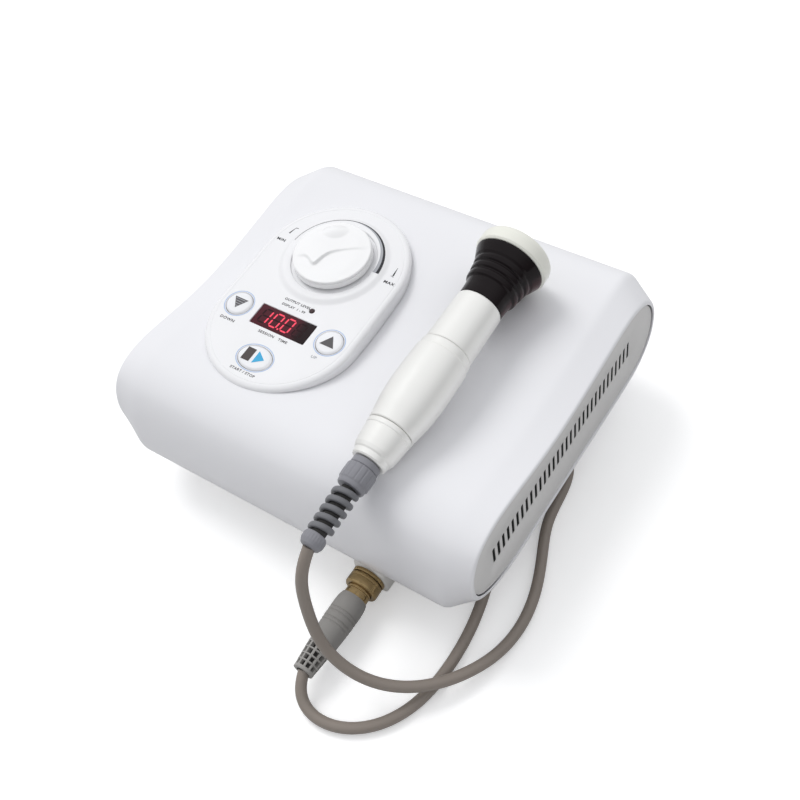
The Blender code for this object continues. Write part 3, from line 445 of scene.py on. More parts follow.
def lathe(profile, count=96, wrap=True, stretch=1.0, mesh=None, mat=0):
    """Turns a (radius, height[, fillet]) line about local Z; a zero radius makes a pole.

    wrap joins the line's two ends."""
    mesh = mesh or bmesh.new()
    rows = []
    for radius, height in fillet(profile):
        pole = radius < 1e-6
        points = [(0, 0, height)] if pole else ring(radius, height, count, stretch)
        rows.append([mesh.verts.new(p) for p in points])
    for low, high in list(zip(rows, rows[1:])) + ([(rows[-1], rows[0])] if wrap else []):
        if len(low) == 1 and len(high) == 1:
            continue
        for i in range(count):
            j = (i + 1) % count
            if len(low) == 1:
                corners = (low[0], high[j], high[i])
            elif len(high) == 1:
                corners = (low[i], low[j], high[0])
            else:
                corners = (low[i], low[j], high[j], high[i])
            mesh.faces.new(corners).material_index = mat
    return mesh


def plate(mesh, outer, holes, place=lambda u, v, height: (u, v, height)):
    """A face with holes. Each outline is a list of rings, the first lying on the face.

    place puts (u, v, height) in the mesh."""
    edges = []
    for rings in [outer] + holes:
        first = skin(mesh, [[place(*p) for p in points] for points in rings])[0]
        for i in range(len(first)):
            ends = (first[i], first[(i + 1) % len(first)])
            edges.append(mesh.edges.get(ends) or mesh.edges.new(ends))
    bmesh.ops.triangle_fill(mesh, use_beauty=True, use_dissolve=False, edges=edges)


def box(mesh, x, y, z, bevel=0.0, steps=3, mat=0):
    """A block between the two limits given for each axis."""
    before = set(mesh.faces)
    middle = [(low + high) / 2 for low, high in (x, y, z)]
    size = [high - low for low, high in (x, y, z)]
    made = bmesh.ops.create_cube(mesh, size=1.0, matrix=move(middle) @ Matrix.Diagonal((*size, 1.0)))
    if bevel:
        edges = {e for v in made['verts'] for e in v.link_edges}
        bmesh.ops.bevel(mesh, geom=list(edges), offset=bevel, segments=steps, profile=0.5,
                        affect='EDGES')
    for face in mesh.faces:
        if face not in before:
            face.material_index = mat


def cut_away(solid_mesh, cutter):
    """The first mesh cut by the second; both are freed."""
    objects = []
    for mesh in (solid_mesh, cutter):
        data = bpy.data.meshes.new('tool')
        bmesh.ops.recalc_face_normals(mesh, faces=mesh.faces[:])
        mesh.to_mesh(data)
        mesh.free()
        tool = bpy.data.objects.new('tool', data)
        bpy.context.scene.collection.objects.link(tool)
        objects.append(tool)
    cut = objects[0].modifiers.new('cut', 'BOOLEAN')
    cut.operation = 'DIFFERENCE'
    cut.solver = 'EXACT'
    cut.object = objects[1]
    bpy.context.view_layer.update()
    graph = bpy.context.evaluated_depsgraph_get()
    out = bmesh.new()
    out.from_mesh(bpy.data.meshes.new_from_object(objects[0].evaluated_get(graph)))
    for tool in objects:
        bpy.data.objects.remove(tool, do_unlink=True)
    return out


def join(mesh, part):
    """Adds a part to a mesh and frees the part."""
    data = bpy.data.meshes.new('part')
    part.to_mesh(data)
    part.free()
    mesh.from_mesh(data)


def print_text(mesh, words, size, u, v, mat, width):
    """Flat letters on the panel, centred at (u, v)."""
    curve = bpy.data.curves.new('letters', 'FONT')
    curve.body = words
    curve.size = size
    curve.align_x = 'CENTER'
    curve.align_y = 'CENTER'
    curve.resolution_u = 3
    curve.space_character = 1.12
    curve.offset = 0.075 * size / 2.3       # thickens the strokes
    letters = bpy.data.objects.new('letters', curve)
    bpy.context.scene.collection.objects.link(letters)
    bpy.context.view_layer.update()
    graph = bpy.context.evaluated_depsgraph_get()
    data = bpy.data.meshes.new_from_object(letters.evaluated_get(graph))
    bpy.data.objects.remove(letters, do_unlink=True)
    old_verts, old_faces = set(mesh.verts), set(mesh.faces)
    mesh.from_mesh(data)
    for vert in mesh.verts:
        if vert not in old_verts:
            vert.co = Vector((u + vert.co.x * width, v + vert.co.y, PRINT_LIFT))
    for face in mesh.faces:
        if face not in old_faces:
            face.material_index = mat


def flat(mesh, points, height, mat=0):
    verts = [mesh.verts.new((p[0], p[1], height)) for p in points]
    mesh.faces.new(verts).material_index = mat


def flat_ring(mesh, inner, outer, u=0, v=0, height=0, mat=0, start=0.0, end=360.0, count=96,
              stretch=(1.0, 1.0)):
    """A flat ring or arc; its radii may be functions of the share along it."""
    full = abs(end - start) >= 360
    rows = []
    for radius, wide in zip((inner, outer), stretch):
        row = []
        for k in range(count if full else count + 1):
            t = k / count
            a = math.radians(start + (end - start) * t)
            r = radius(t) if callable(radius) else radius
            row.append((u + wide * r * math.cos(a), v + r * math.sin(a), height))
        rows.append(row)
    skin(mesh, rows, around=full, mat=mat)


def tube(mesh, points, radius, count, mat=0):
    """A round bar along the points."""
    points = [Vector(p) for p in points]
    last = len(points) - 1
    tangents = [(points[min(i + 1, last)] - points[max(i - 1, 0)]).normalized()
                for i in range(last + 1)]
    guide = Vector((0, 0, 1)) if abs(tangents[0].z) < 0.9 else Vector((1, 0, 0))
    normal = guide.cross(tangents[0]).normalized()
    rows = []
    for point, tangent in zip(points, tangents):
        normal = (normal - tangent * normal.dot(tangent)).normalized()
        side = tangent.cross(normal)
        angles = [2 * math.pi * k / count for k in range(count)]
        rows.append([point + (normal * math.cos(a) + side * math.sin(a)) * radius
                     for a in angles])
    solid(mesh, rows, mat)


def metres(matrix):
    out = matrix.copy()
    out.translation = (out.translation + SHIFT) * MM
    return out


def piece(name, mesh, looks, body='console', nodes=(), at=None, smooth=35.0,
          recalc=True):
    """Makes an object from a mesh drawn in millimetres in the frame at; it rides on its body."""
    if recalc:
        bmesh.ops.recalc_face_normals(mesh, faces=mesh.faces[:])
    bmesh.ops.scale(mesh, vec=(MM, MM, MM), verts=mesh.verts[:])
    data = bpy.data.meshes.new(name)
    mesh.to_mesh(data)
    mesh.free()
    data.shade_smooth()
    data.set_sharp_from_angle(angle=math.radians(smooth))
    made = bpy.data.objects.new(name, data)
    bpy.context.scene.collection.objects.link(made)
    for look in ([looks] if isinstance(looks, str) else looks):
        data.materials.append(LOOK[look])
    made.matrix_world = metres(at or Matrix.Identity(4))
    if body:
        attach(made, body)
    if nodes:
        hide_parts(*nodes)
    return made


def turned(name, look, profile, body='handpiece', at=HAND, count=112):
    """A lathed piece in one finish."""
    piece(name + '_look', lathe(profile, count), look, body, [name], at, 38)


# ---- console shell -----------------------------------------------------------
middle = relax(closed_spline(MIDDLE_OUTLINE, 10), 14)
rim = relax(closed_spline(RIM_OUTLINE, 10), 14)


def section(x):
    """The outline at x: the middle one up to the crease, then blending into the rim."""
    past, length = abs(x) - CREASE_X, HALF_WIDTH - CREASE_X
    if past <= -CREASE_SOFT:
        t = 0.0
    elif past < CREASE_SOFT:
        t = (past + CREASE_SOFT) ** 2 / (4 * CREASE_SOFT * length)
    else:
        t = past / length
    return middle * (1 - t) + rim * t


def at_x(outline, x):
    return [(x, float(p[0]), float(p[1])) for p in outline]


def hollow_housing():
    round_x = HALF_WIDTH - EDGE_ROUND
    stations = [0, 18, 36, 54, 70, 84, 90, 92]
    stations += [CREASE_X - CREASE_SOFT + 2 * CREASE_SOFT * k / 8 for k in range(9)]
    stations += [103, 105, 107, 108.6, round_x]
    half = [(x, section(x)) for x in stations]
    for a in quarter_turn(6)[1:]:
        x = round_x + EDGE_ROUND * math.sin(a)
        half.append((x, inset(section(x), EDGE_ROUND * (1 - math.cos(a)))))
    half += [(HALF_WIDTH, inset(rim, 1.75)), (HALF_WIDTH - 0.25, inset(rim, RIM_T))]
    # x and wall thickness back along the inside
    for x, wall in ((107.0, 2.1), (103, 2.3), (98, SHELL_T), (90, SHELL_T), (45, SHELL_T),
                    (0, SHELL_T)):
        half.append((x, inset(section(x), wall)))
    loops = [at_x(outline, x) for x, outline in half]
    loops += [at_x(outline, -x) for x, outline in reversed(half[1:-1])]
    mesh = bmesh.new()
    skin(mesh, loops, wrap=True)
    return mesh


def housing_openings():
    """Cutters for the rear pocket, the base and the panel."""
    mesh = bmesh.new()
    box(mesh, (-40, 40), (REAR_Y, 110), (38, 66))
    box(mesh, (-80, 80), (-76, 64), (10, 32))
    oval = stadium(38.5, arc_steps=32, side_steps=6)
    solid(mesh, [[tuple(PANEL @ Vector((u, v, h))) for u, v in oval] for h in (-24, 8)])
    return mesh


def rear_pad():
    """The pocket behind the rear sockets."""
    outline = [(90.8, 35.5), (95.4, 35.5), (98.0, 46), (99.2, 56), (98.0, 68.5), (90.8, 68.5)]
    pad = bmesh.new()
    solid(pad, [at_x(outline, x) for x in (-42, 42)])
    holes = bmesh.new()
    box(holes, (-40, 40), (REAR_Y, 110), (38, 66), bevel=1.2)
    box(holes, (-34.4, -1.6), (80, 110), (39.6, 64.4))
    box(holes, (14.7, 28.3), (80, 110), (42.0, 62.0))
    return cut_away(pad, holes)


def paint_inside_shade(mesh):
    """Paints shade: gives the near-black painted-shade finish to faces that look towards the middle
    of the hollow.
    """
    mesh.normal_update()
    for face in mesh.faces:
        c = face.calc_center_median()
        within = abs(c.x) < 107.2 and abs(c.y) < 97.3 and 25.2 < c.z < 85.5
        outward = face.normal.y * (c.y * 0.35) + face.normal.z * (c.z - 50)
        if within and outward < 0:
            face.material_index = 1


shell = cut_away(hollow_housing(), housing_openings())
join(shell, rear_pad())
paint_inside_shade(shell)
piece('housing_look', shell, ['white_shell', 'inside_painted_shade'], nodes=['upper_housing'],
      smooth=32)


# ---- side caps with their row of vents ---------------------------------------
def side_cap(sign):
    edge = RIM_T + 0.35
    # inset and depth of each ring of the cap's edge
    rings = ((edge + 0.5, 0.0), (edge + 0.15, 0.12), (edge, 0.5), (edge, CAP_T))
    outer = [[(float(y), float(z), sign * (CAP_OUT - depth)) for y, z in inset(rim, inward)]
             for inward, depth in rings]
    # growth, corner radius and depth of each ring of a vent
    rings = ((0.3, 0.9, 0.0), (0.1, 0.8, 0.08), (0.0, 0.75, 0.3), (0.0, 0.75, CAP_T))
    z, height = (VENT_Z0 + VENT_Z1) / 2, VENT_Z1 - VENT_Z0
    holes = []
    for k in range(VENTS):
        y = VENT_Y0 + k * VENT_PITCH
        holes.append([[(*p, sign * (CAP_OUT - depth))
                       for p in rounded_rect(y, z, VENT_W + grow, height + grow, radius, 4)]
                      for grow, radius, depth in rings])

    def place(y, z, x):
        return (x, y, z)

    mesh = bmesh.new()
    plate(mesh, outer, holes, place)
    # the face on the inner side
    plate(mesh, outer[-1:], [hole[-1:] for hole in holes], place)
    bmesh.ops.remove_doubles(mesh, verts=mesh.verts[:], dist=0.001)
    mesh.normal_update()
    # the cap's inner face and the vents' walls take the near-black painted shade
    for face in mesh.faces:
        c = face.calc_center_median()
        in_vents = VENT_Z0 - 0.5 < c.z < VENT_Z1 + 0.5 and abs(c.y) < 73.5
        if (abs(c.x) < CAP_OUT - CAP_T + 0.01
                or (abs(c.x) < CAP_OUT - 0.35 and in_vents)):
            face.material_index = 1
    return mesh


for side, sign in (('left', -1), ('right', 1)):
    piece('side_cap_%s_look' % side, side_cap(sign), ['cap_grey', 'inside_painted_shade'],
          nodes=['side_cap_' + side], smooth=40)


# ---- base pan and feet -------------------------------------------------------
def base_pan():
    """The pan, with a bored boss round the front socket."""
    mesh = bmesh.new()
    box(mesh, (-86, 86), (-80.5, 68), (19.6, 22.1), bevel=0.5, steps=2)
    box(mesh, (-72, 72), (-80, 66), (4.5, 20.6), bevel=2.2, steps=4)
    boss = bmesh.new()
    box(boss, (SOCKET_X - 9.4, SOCKET_X + 9.4), (SOCKET_Y, -78), (4.5, 22.1), bevel=1.6, steps=4)
    bore = lathe([(0, -8), (6.2, -8), (6.2, 8), (0, 8)], 48)
    bmesh.ops.transform(bore, matrix=PLUG, verts=bore.verts[:])
    join(mesh, cut_away(boss, bore))
    return mesh


piece('base_pan_look', base_pan(), 'pan_grey', nodes=['base_pan'], smooth=40)

FOOT = [(0, 0), (7.0, 0, 0.3), (7.6, 0.6, 0.4), (8.0, 4.2, 0.3), (2.5, 4.3), (2.5, 8.6, 0.4),
        (0, 8.6)]
for end, y in (('front', -66), ('rear', 54)):
    for side, x in (('left', -58), ('right', 58)):
        name = 'foot_%s_%s' % (end, side)
        piece(name + '_look', lathe(FOOT, 64, wrap=False), 'foot_rubber', nodes=[name],
              at=move((x, y, 0)))

# ---- control panel -----------------------------------------------------------
top_y, top_z = middle[30:221, 0], middle[30:221, 1]


def housing_height(u, v):
    """Height in the panel's frame of the housing's skin under (u, v)."""
    height = -5.0
    for _ in range(8):
        p = PANEL @ Vector((u, v, height))
        height += (float(np.interp(p.y, top_y, top_z)) - p.z) / math.cos(PANEL_TILT)
    return height


def panel_edge():
    """Rings of the panel's edge: a shallow groove, a rounded brow and a skirt to the housing."""
    brow = 3.05
    # distance in from the edge, and height
    groove = ((3.75, 0.0), (3.6, -0.02), (3.5, -0.14), (3.35, -0.16), (3.22, -0.06),
              (brow, -0.05))
    rings = [[(u, v, h) for u, v in stadium(PANEL_R - inward)] for inward, h in groove]
    for a in quarter_turn(9)[1:]:
        rings.append([(u, v, -0.05 - 2.3 * (1 - math.cos(a)))
                      for u, v in stadium(PANEL_R - brow + brow * math.sin(a))])
    walls = [housing_height(u, v) for u, v in stadium(PANEL_R + 0.2)]
    # growth, highest level, and height over the housing
    for grow, limit, lift in ((0.15, -2.4, 0.75), (-0.05, -2.45, 0.45), (-0.9, -2.45, 0.45),
                              (-0.9, -3.3, -0.8)):
        rings.append([(u, v, min(limit, wall + lift))
                      for (u, v), wall in zip(stadium(PANEL_R + grow), walls)])
    return rings


def well(outline, soft=0.45):
    """Rings of a hole whose edge is rounded over soft; outline(grow) gives its points."""
    rings = [[(u, v, -soft * (1 - math.cos(a))) for u, v in outline(soft * (1 - math.sin(a)))]
             for a in quarter_turn(4)]
    rings.append([(u, v, -3.0) for u, v in outline(0.0)])
    return rings


def panel_holes():
    holes = [[ring_at(MOUND_R, KNOB_V, 128)]]
    holes.append(well(lambda grow: rounded_rect(
        0, WINDOW_V, WINDOW_W + 0.4 + 2 * grow, WINDOW_H + 0.4 + 2 * grow, 0.5 + grow), 0.35))
    for _, _, u, v, half_width, count in KEYS:
        holes.append(well(lambda grow: circle(
            KEY_R + KEY_GAP + grow, u, v, count,
            (half_width + KEY_GAP + grow) / (KEY_R + KEY_GAP + grow))))
    holes.append(well(lambda grow: circle(1.6 + grow, LED_U, LED_V, 24), 0.2))
    return holes


def ring_at(radius, v, count):
    return [(x, y, 0.0) for x, y in circle(radius, 0, v, count)]


def knob_mound():
    """The raised ring round the knob, with a recess and a bore in the middle."""
    slope = [(MOUND_R - 4.0 * k / 14, MOUND_H * smooth_step(k / 14)) for k in range(15)]
    recess = [(24.2, MOUND_H), (23.9, 1.42), (23.6, 1.1), (23.5, 0.6), (4.8, 0.6), (4.8, -2.5)]
    mesh = lathe(slope + recess, 128, wrap=False)
    bmesh.ops.translate(mesh, vec=(0, KNOB_V, 0), verts=mesh.verts[:])
    return mesh


panel = bmesh.new()
plate(panel, panel_edge(), panel_holes())
join(panel, knob_mound())
bmesh.ops.remove_doubles(panel, verts=panel.verts[:], dist=0.0005)
piece('control_panel_look', panel, 'white_panel', nodes=['control_panel'],
      at=PANEL, smooth=38)

# ---- printed marks: rings round the keys, words, strokes by the dial ---------
RING_INNER, RING_OUTER = 0.78, 1.3      # distances out from a key's edge
# words, size, u, v, material index, width factor
WORDS = (
    ('DOWN', 2.3, -29.3, -23.0, 1, 1.15),
    ('UP', 2.3, 27.4, -22.9, 2, 1.15),
    ('START / STOP', 2.1, -0.8, -46.9, 1, 1.1),
    ('OUTPUT LEVEL', 2.0, -0.6, 1.9, 0, 1.12),
    ('DISPLAY  1 - 99', 1.9, -1.0, -1.6, 0, 1.05),
    ('SESSION   TIME', 2.1, 0.2, -21.9, 1, 1.2),
    ('MIN', 2.4, -36.0, 34.9, 0, 1.2),
    ('MAX', 2.4, 35.6, 34.6, 0, 1.2),
)
# start, end, width at the start, width at the end
STROKES = (
    ((-34.6, 40.6), (-33.3, 45.2), 0.9, 0.25),
    ((-33.4, 45.3), (-31.6, 45.6), 0.4, 0.3),
    ((34.9, 39.6), (34.3, 45.4), 1.0, 0.2),
    ((35.6, 39.0), (33.7, 39.3), 0.4, 0.3),
)
marks = bmesh.new()
for _, _, u, v, half_width, _ in KEYS:
    flat_ring(marks, KEY_R + RING_INNER, KEY_R + RING_OUTER, u, v, PRINT_LIFT, mat=3,
              stretch=[(half_width + out) / (KEY_R + out) for out in (RING_INNER, RING_OUTER)])
for words in WORDS:
    print_text(marks, *words)
for start, end, start_width, end_width in STROKES:
    start, end = Vector(start), Vector(end)
    side = Vector((-(end - start).y, (end - start).x)).normalized()
    flat(marks, [start + side * start_width / 2, end + side * end_width / 2,
                 end - side * end_width / 2, start - side * start_width / 2], PRINT_LIFT)
piece('panel_marks', marks, ['print_black', 'print_grey', 'print_soft_and_painted_shade', 'print_blue'], at=PANEL,
      recalc=False)

# The dial's crescent, from a hair line at the low end to a heavy band at the high end, with a grey
# band of painted shade inside the heavy end
DIAL_R = 27.9


def dial_inner(t):
    return DIAL_R - (0.22 + 0.25 * t + 1.25 * max(0.0, (t - 0.45) / 0.55) ** 1.2)


def shade_outer(t):
    return dial_inner(0.42 + 0.58 * t)


def shade_inner(t):
    return shade_outer(t) - 1.9 * t ** 0.8


crescent = bmesh.new()
dial_height = MOUND_H + PRINT_LIFT
flat_ring(crescent, dial_inner, DIAL_R, height=dial_height, start=176, end=3, count=160)
# the grey band of painted shade inside the crescent's heavy end
flat_ring(crescent, shade_inner, shade_outer, height=dial_height, mat=1, start=103, end=3)
piece('dial_crescent', crescent, ['print_black', 'print_soft_and_painted_shade'], at=KNOB,
      recalc=False)

# ---- display: filter window, digits, status light ----------------------------
window_rings = []
for a in quarter_turn(4):
    trim = 0.6 * (1 - math.sin(a))
    window_rings.append([(u, v, -0.25 - 0.3 * (1 - math.cos(a))) for u, v in
                         rounded_rect(0, WINDOW_V, WINDOW_W - trim, WINDOW_H - trim, 0.4)])
window_rings.append([(*p, -2.4) for p in rounded_rect(0, WINDOW_V, WINDOW_W, WINDOW_H, 0.4)])
window = bmesh.new()
plate(window, window_rings, [])
piece('display_window_look', window, 'window_red', nodes=['display_window'],
      at=PANEL, smooth=40)

DIGIT_U0, DIGIT_PITCH, DIGIT_HEIGHT, DIGIT_SLANT = -11.6, 7.4, -0.225, 0.08
DIGIT_HALF_W, DIGIT_HALF_H, BAR_HALF_W = 2.35, 4.3, 0.44
# position of each bar in half widths and half heights, and whether it is upright
SEGMENTS = {'a': (0, 1, False), 'b': (1, 0.5, True), 'c': (1, -0.5, True), 'd': (0, -1, False),
            'e': (-1, -0.5, True), 'f': (-1, 0.5, True), 'g': (0, 0, False)}
LIT = {'0': 'abcdef', '1': 'bc', ' ': ''}


def digit_bar(x, y, upright):
    """A bar with pointed ends centred at (x, y)."""
    half, wide = 1.85 if upright else 1.95, BAR_HALF_W
    bar = [(-half, 0), (-half + wide, wide), (half - wide, wide), (half, 0),
           (half - wide, -wide), (-half + wide, -wide)]
    return [(x + b, y - a) if upright else (x + a, y + b) for a, b in bar]


digits = bmesh.new()
for k, character in enumerate('100 '):
    digit_u = DIGIT_U0 + DIGIT_PITCH * k
    for name, (across, up, upright) in SEGMENTS.items():
        bar = digit_bar(across * DIGIT_HALF_W, up * DIGIT_HALF_H, upright)
        flat(digits, [(digit_u + x + DIGIT_SLANT * y, WINDOW_V + y) for x, y in bar],
             DIGIT_HEIGHT, 0 if name in LIT[character] else 1)
    if k == 1:
        flat(digits, circle(0.55, digit_u + 3.55, WINDOW_V - 4.2, 12), DIGIT_HEIGHT)
piece('display_digits', digits, ['digits_red', 'digits_off'], at=PANEL,
      recalc=False)

LED = [(0, -15.7), (1.4, -15.7), (1.4, 0.05, 0.3), (1.0, 0.5, 0.3), (0, 0.6)]
piece('status_led_look', lathe(LED, 32, wrap=False), 'led_lens', nodes=['status_led'],
      at=PANEL @ move((LED_U, LED_V, 0)))

# ---- keys --------------------------------------------------------------------
KEY = [(0, 0.92), (4.5, 0.88, 3.0), (6.35, 0.66, 0.8), (KEY_R, 0.0, 0.5), (KEY_R, -2.8),
       (8.6, -2.8), (8.6, -3.9), (2.0, -3.9), (2.0, -10.0), (0, -10.0)]


def key_mark(name):
    """The symbol on a key: a triangle, or a block beside a triangle."""
    mesh = bmesh.new()
    if name == 'down_button':
        flat(mesh, [(-4.3, 2.9), (4.3, 2.9), (0.0, -3.8)], 0.96)
        for k in range(4):
            top, bottom = 3.4 - 0.85 * k, 3.2 - 0.85 * k
            high, low = 2.2 - 1.45 * k, 1.85 - 1.45 * k
            flat(mesh, [(-top, high), (top, high), (bottom, low), (-bottom, low)], 0.975, 1)
    elif name == 'up_button':
        flat(mesh, [(-4.3, -2.9), (4.3, -2.9), (0.0, 3.8)], 0.96)
    else:
        flat(mesh, [(-6.5, -3.7), (-1.4, -3.7), (-1.4, 4.2), (-6.5, 4.2)], 0.965, 2)
        flat(mesh, [(0.5, 4.2), (0.5, -3.8), (6.0, 0.3)], 0.965, 3)
    return mesh


for name, body, u, v, half_width, _ in KEYS:
    where = PANEL @ move((u, v, 0))
    piece(name + '_look', lathe(KEY, 72, wrap=False, stretch=half_width / KEY_R), 'key_white',
          body, [name], where, 38)
    piece(name + '_mark', key_mark(name), ['print_grey', 'print_soft_and_painted_shade', 'print_brown', 'print_cyan'],
          body, at=where, recalc=False)

# ---- knob --------------------------------------------------------------------
KNOB_COUNT = 168
KNOB_FACE_R = 20.55
# (radius, height[, fillet]) from under the knob up its side
KNOB_SIDE = [(3.3, 4.9), (20.0, 4.9, 0.3), (20.0, 2.1), (21.75, 2.1, 0.35), (21.5, 5.3, 0.25),
             (20.95, 5.35, 0.1), (20.95, 5.75, 0.1), (21.4, 5.8, 0.2), (21.4, 6.1)]
# x and y along the S-shaped step in the knob's face
STEP_X = [-24.0, -20.0, -17.0, -14.6, -12.6, -11.2, -10.2, -9.2, -8.0, -6.4, -4.6, -2.6, 0.0,
          3.0, 7.0, 12.0, 18.0, 24.0]
STEP_Y = [-0.9, -1.0, -1.2, -1.7, -2.9, -4.9, -7.0, -8.1, -7.9, -6.0, -4.0, -2.3, -0.9,
          0.0, 0.5, 0.75, 0.8, 0.8]
step_x = np.linspace(-24, 24, 241)
step_y = np.interp(step_x, STEP_X, STEP_Y)
for _ in range(4):
    step_y[1:-1] = (step_y[:-2] + 2 * step_y[1:-1] + step_y[2:]) / 4


def knob_top(x, y):
    """Height of the knob's face: the +y half stands higher, across the step."""
    from_step = float(np.min(np.hypot(step_x - x, step_y - y)))
    if y < float(np.interp(x, step_x, step_y)):
        from_step = -from_step
    raised = smooth_step((from_step + 1.0) / 1.4)
    inside = smooth_step((20.6 - math.hypot(x, y)) / 7.0)
    tall = 0.55 + 0.85 * math.exp(-((x + 6.0) / 9.0) ** 2)
    hollow = 0.35 * math.exp(-(((x + 9.0) / 7.0) ** 2 + ((y + 11.0) / 6.0) ** 2))
    height = 7.05 + 0.5 * inside + raised * tall * (0.25 + 0.75 * inside) - hollow * (1 - raised)
    dome = math.hypot((x - 1.2) / 7.4, (y - 13.4) / 5.4)
    if dome < 1.0:
        height += 1.45 * (1 - dome * dome) ** 1.25
    return height


rows = [ring(radius, height, KNOB_COUNT) for radius, height in fillet(KNOB_SIDE, 4)]
for k in range(1, 6):
    a = math.pi / 2 * k / 6
    rows.append(ring(KNOB_FACE_R + 0.9 * math.cos(a), 6.1 + 0.95 * math.sin(a), KNOB_COUNT))
for radius in [KNOB_FACE_R - 0.42 * k for k in range(49)] + [0.25]:
    rows.append([(x, y, knob_top(x, y)) for x, y in circle(radius, count=KNOB_COUNT)])
knob = bmesh.new()
solid(knob, rows)
piece('knob_look', knob, 'knob_white', 'intensity_knob', ['knob'],
      KNOB @ turn(math.radians(30), 4, 'Z'), 45)

# ---- handpiece, as (radius, height[, fillet]) along its axis -----------------
turned('treatment_head', 'head_cream', [
    (17.2, 111.2), (18.8, 111.2, 0.5), (19.8, 112.2, 0.9), (19.8, 117.0, 0.8), (19.4, 118.9, 1.6),
    (17.9, 120.6, 1.6), (15.8, 121.35, 1.0), (15.3, 121.75, 0.3), (10.0, 121.95, 3), (0, 122.0),
    (0, 119.8), (15.6, 119.4), (17.2, 118.0)])
turned('neck', 'neck_dark', [
    (9.4, 75.4), (11.1, 75.4), (11.1, 82.7), (12.1, 82.7, 0.2), (12.35, 88.5, 20),
    (12.75, 92.0, 1.0), (13.9, 92.8, 0.5), (14.2, 94.4, 0.8), (14.15, 95.6, 0.5),
    (13.5, 96.2, 0.35), (13.65, 96.9, 0.35), (14.6, 97.5, 0.5), (14.9, 99.0, 0.8),
    (14.85, 100.0, 0.5), (14.15, 100.6, 0.35), (14.35, 101.2, 0.35), (15.3, 101.8, 0.5),
    (15.7, 103.2, 0.8), (15.7, 104.0, 0.4), (15.6, 104.5, 0.35), (16.6, 105.6, 1.0),
    (17.4, 107.4, 1.5), (18.3, 109.4, 1.5), (18.9, 110.9, 0.3), (16.9, 110.9), (16.9, 113.8),
    (13.0, 113.8), (9.4, 107.0)])
turned('front_barrel', 'barrel_silver', [
    (11.4, 52.6), (12.75, 52.6, 0.35), (12.95, 53.4, 0.3), (12.9, 57.0, 30), (12.55, 78.0, 30),
    (12.4, 81.7, 0.5), (12.0, 82.4, 0.3), (11.4, 82.4)])
turned('mid_barrel', 'barrel_silver', [
    (10.9, 3.2), (11.9, 3.2, 0.25), (12.3, 3.7, 0.25), (12.55, 6.0, 20), (13.9, 14.0, 30),
    (14.6, 24.0, 40), (14.65, 32.0, 60), (14.3, 44.0, 30), (14.2, 47.2, 0.5), (13.65, 47.75, 0.3),
    (13.5, 48.3, 0.3), (13.55, 51.2, 0.5), (13.3, 52.0, 0.3), (12.9, 52.3, 0.1), (11.1, 52.3),
    (11.1, 59.0), (10.0, 59.0), (10.0, 38.0), (10.9, 18.0)])
turned('rear_cap', 'barrel_silver', [
    (6.2, -16.0), (8.3, -16.0, 0.4), (9.0, -15.3, 0.5), (9.25, -12.8, 0.5), (9.9, -12.1, 0.4),
    (10.6, -10.4, 1.5), (11.2, -6.5, 20), (11.75, -0.6, 0.4), (11.6, -0.25, 0.15),
    (11.65, 0.1, 0.15), (11.95, 0.45, 0.3), (12.1, 2.3, 0.4), (11.8, 2.9, 0.2), (10.6, 2.9),
    (10.6, 7.5), (9.4, 7.5), (8.2, -9.0), (6.2, -9.0)])

# Cable gland: a collar and a fluted nut. Columns: height, radius, share of the flute depth
NUT = [(-19.7, 6.4, 0), (-19.9, 6.9, 0), (-20.1, 7.35, 0.2), (-20.5, 7.65, 0.8), (-21.0, 7.8, 1),
       (-24.5, 7.85, 1), (-27.6, 7.75, 1), (-28.1, 7.6, 0.7), (-28.5, 7.25, 0.1),
       (-28.8, 7.1, 0), (-29.6, 7.05, 0), (-30.4, 6.85, 0), (-30.85, 6.5, 0), (-31.0, 6.0, 0)]
FLUTES, FLUTE_DEPTH, NUT_COUNT = 15, 0.26, 240
gland = lathe([(4.2, -16.3), (7.0, -16.3, 0.2), (7.2, -16.8, 0.3), (7.2, -19.5, 0.2),
               (6.8, -19.9), (4.2, -19.9)])
waves = [max(0.0, math.cos(FLUTES * 2 * math.pi * k / NUT_COUNT)) ** 3 for k in range(NUT_COUNT)]
solid(gland, [cut_ring(radius, height, [FLUTE_DEPTH * flute * wave for wave in waves])
              for height, radius, flute in NUT])
piece('gland_nut_look', gland, 'gland_grey', 'handpiece', ['gland_nut'], HAND, 32)

# Spiral strain relief: a coil round the lead, then a ribbed bead
COIL_PITCH, COIL_TURNS, COIL_TOP = 4.8, 5.15, -31.9
BEAD_END = -63.3
BEAD = [(3.2, -56.9), (5.0, -56.9, 0.6), (5.8, -58.4, 1.2), (5.75, -61.2, 1.4),
        (4.7, BEAD_END, 0.8), (3.2, -63.9)]


def lean(height):
    """Sideways offset of the relief's centre line, as the lead pulls it."""
    t = max(0.0, (-31.0 - height) / 30.0)
    return Vector((0.35 * t * t, 0.0, 0.0))


def relief_coil():
    """Rows of an oval-sectioned coil that thins out at both ends."""
    def oval(value, size):
        return math.copysign(abs(value) ** 0.8, value) * size

    rows = []
    count = int(COIL_TURNS * 64)
    for i in range(count + 1):
        wound = COIL_TURNS * i / count
        angle = -2 * math.pi * wound + math.radians(115)
        height = COIL_TOP - COIL_PITCH * wound
        radius = 5.3 - 0.13 * wound
        fade = min(1.0, 0.45 + wound * 1.6, 0.45 + (COIL_TURNS - wound) * 1.6)
        out = Vector((math.cos(angle), math.sin(angle), 0))
        row = []
        for j in range(18):
            b = 2 * math.pi * j / 18
            outward = radius - (1 - fade) * 0.8 + oval(math.cos(b), 1.3) * fade
            along = oval(math.sin(b), 1.5) * fade
            row.append(lean(height) + out * outward + Vector((0, 0, height + along)))
        rows.append(row)
    return rows


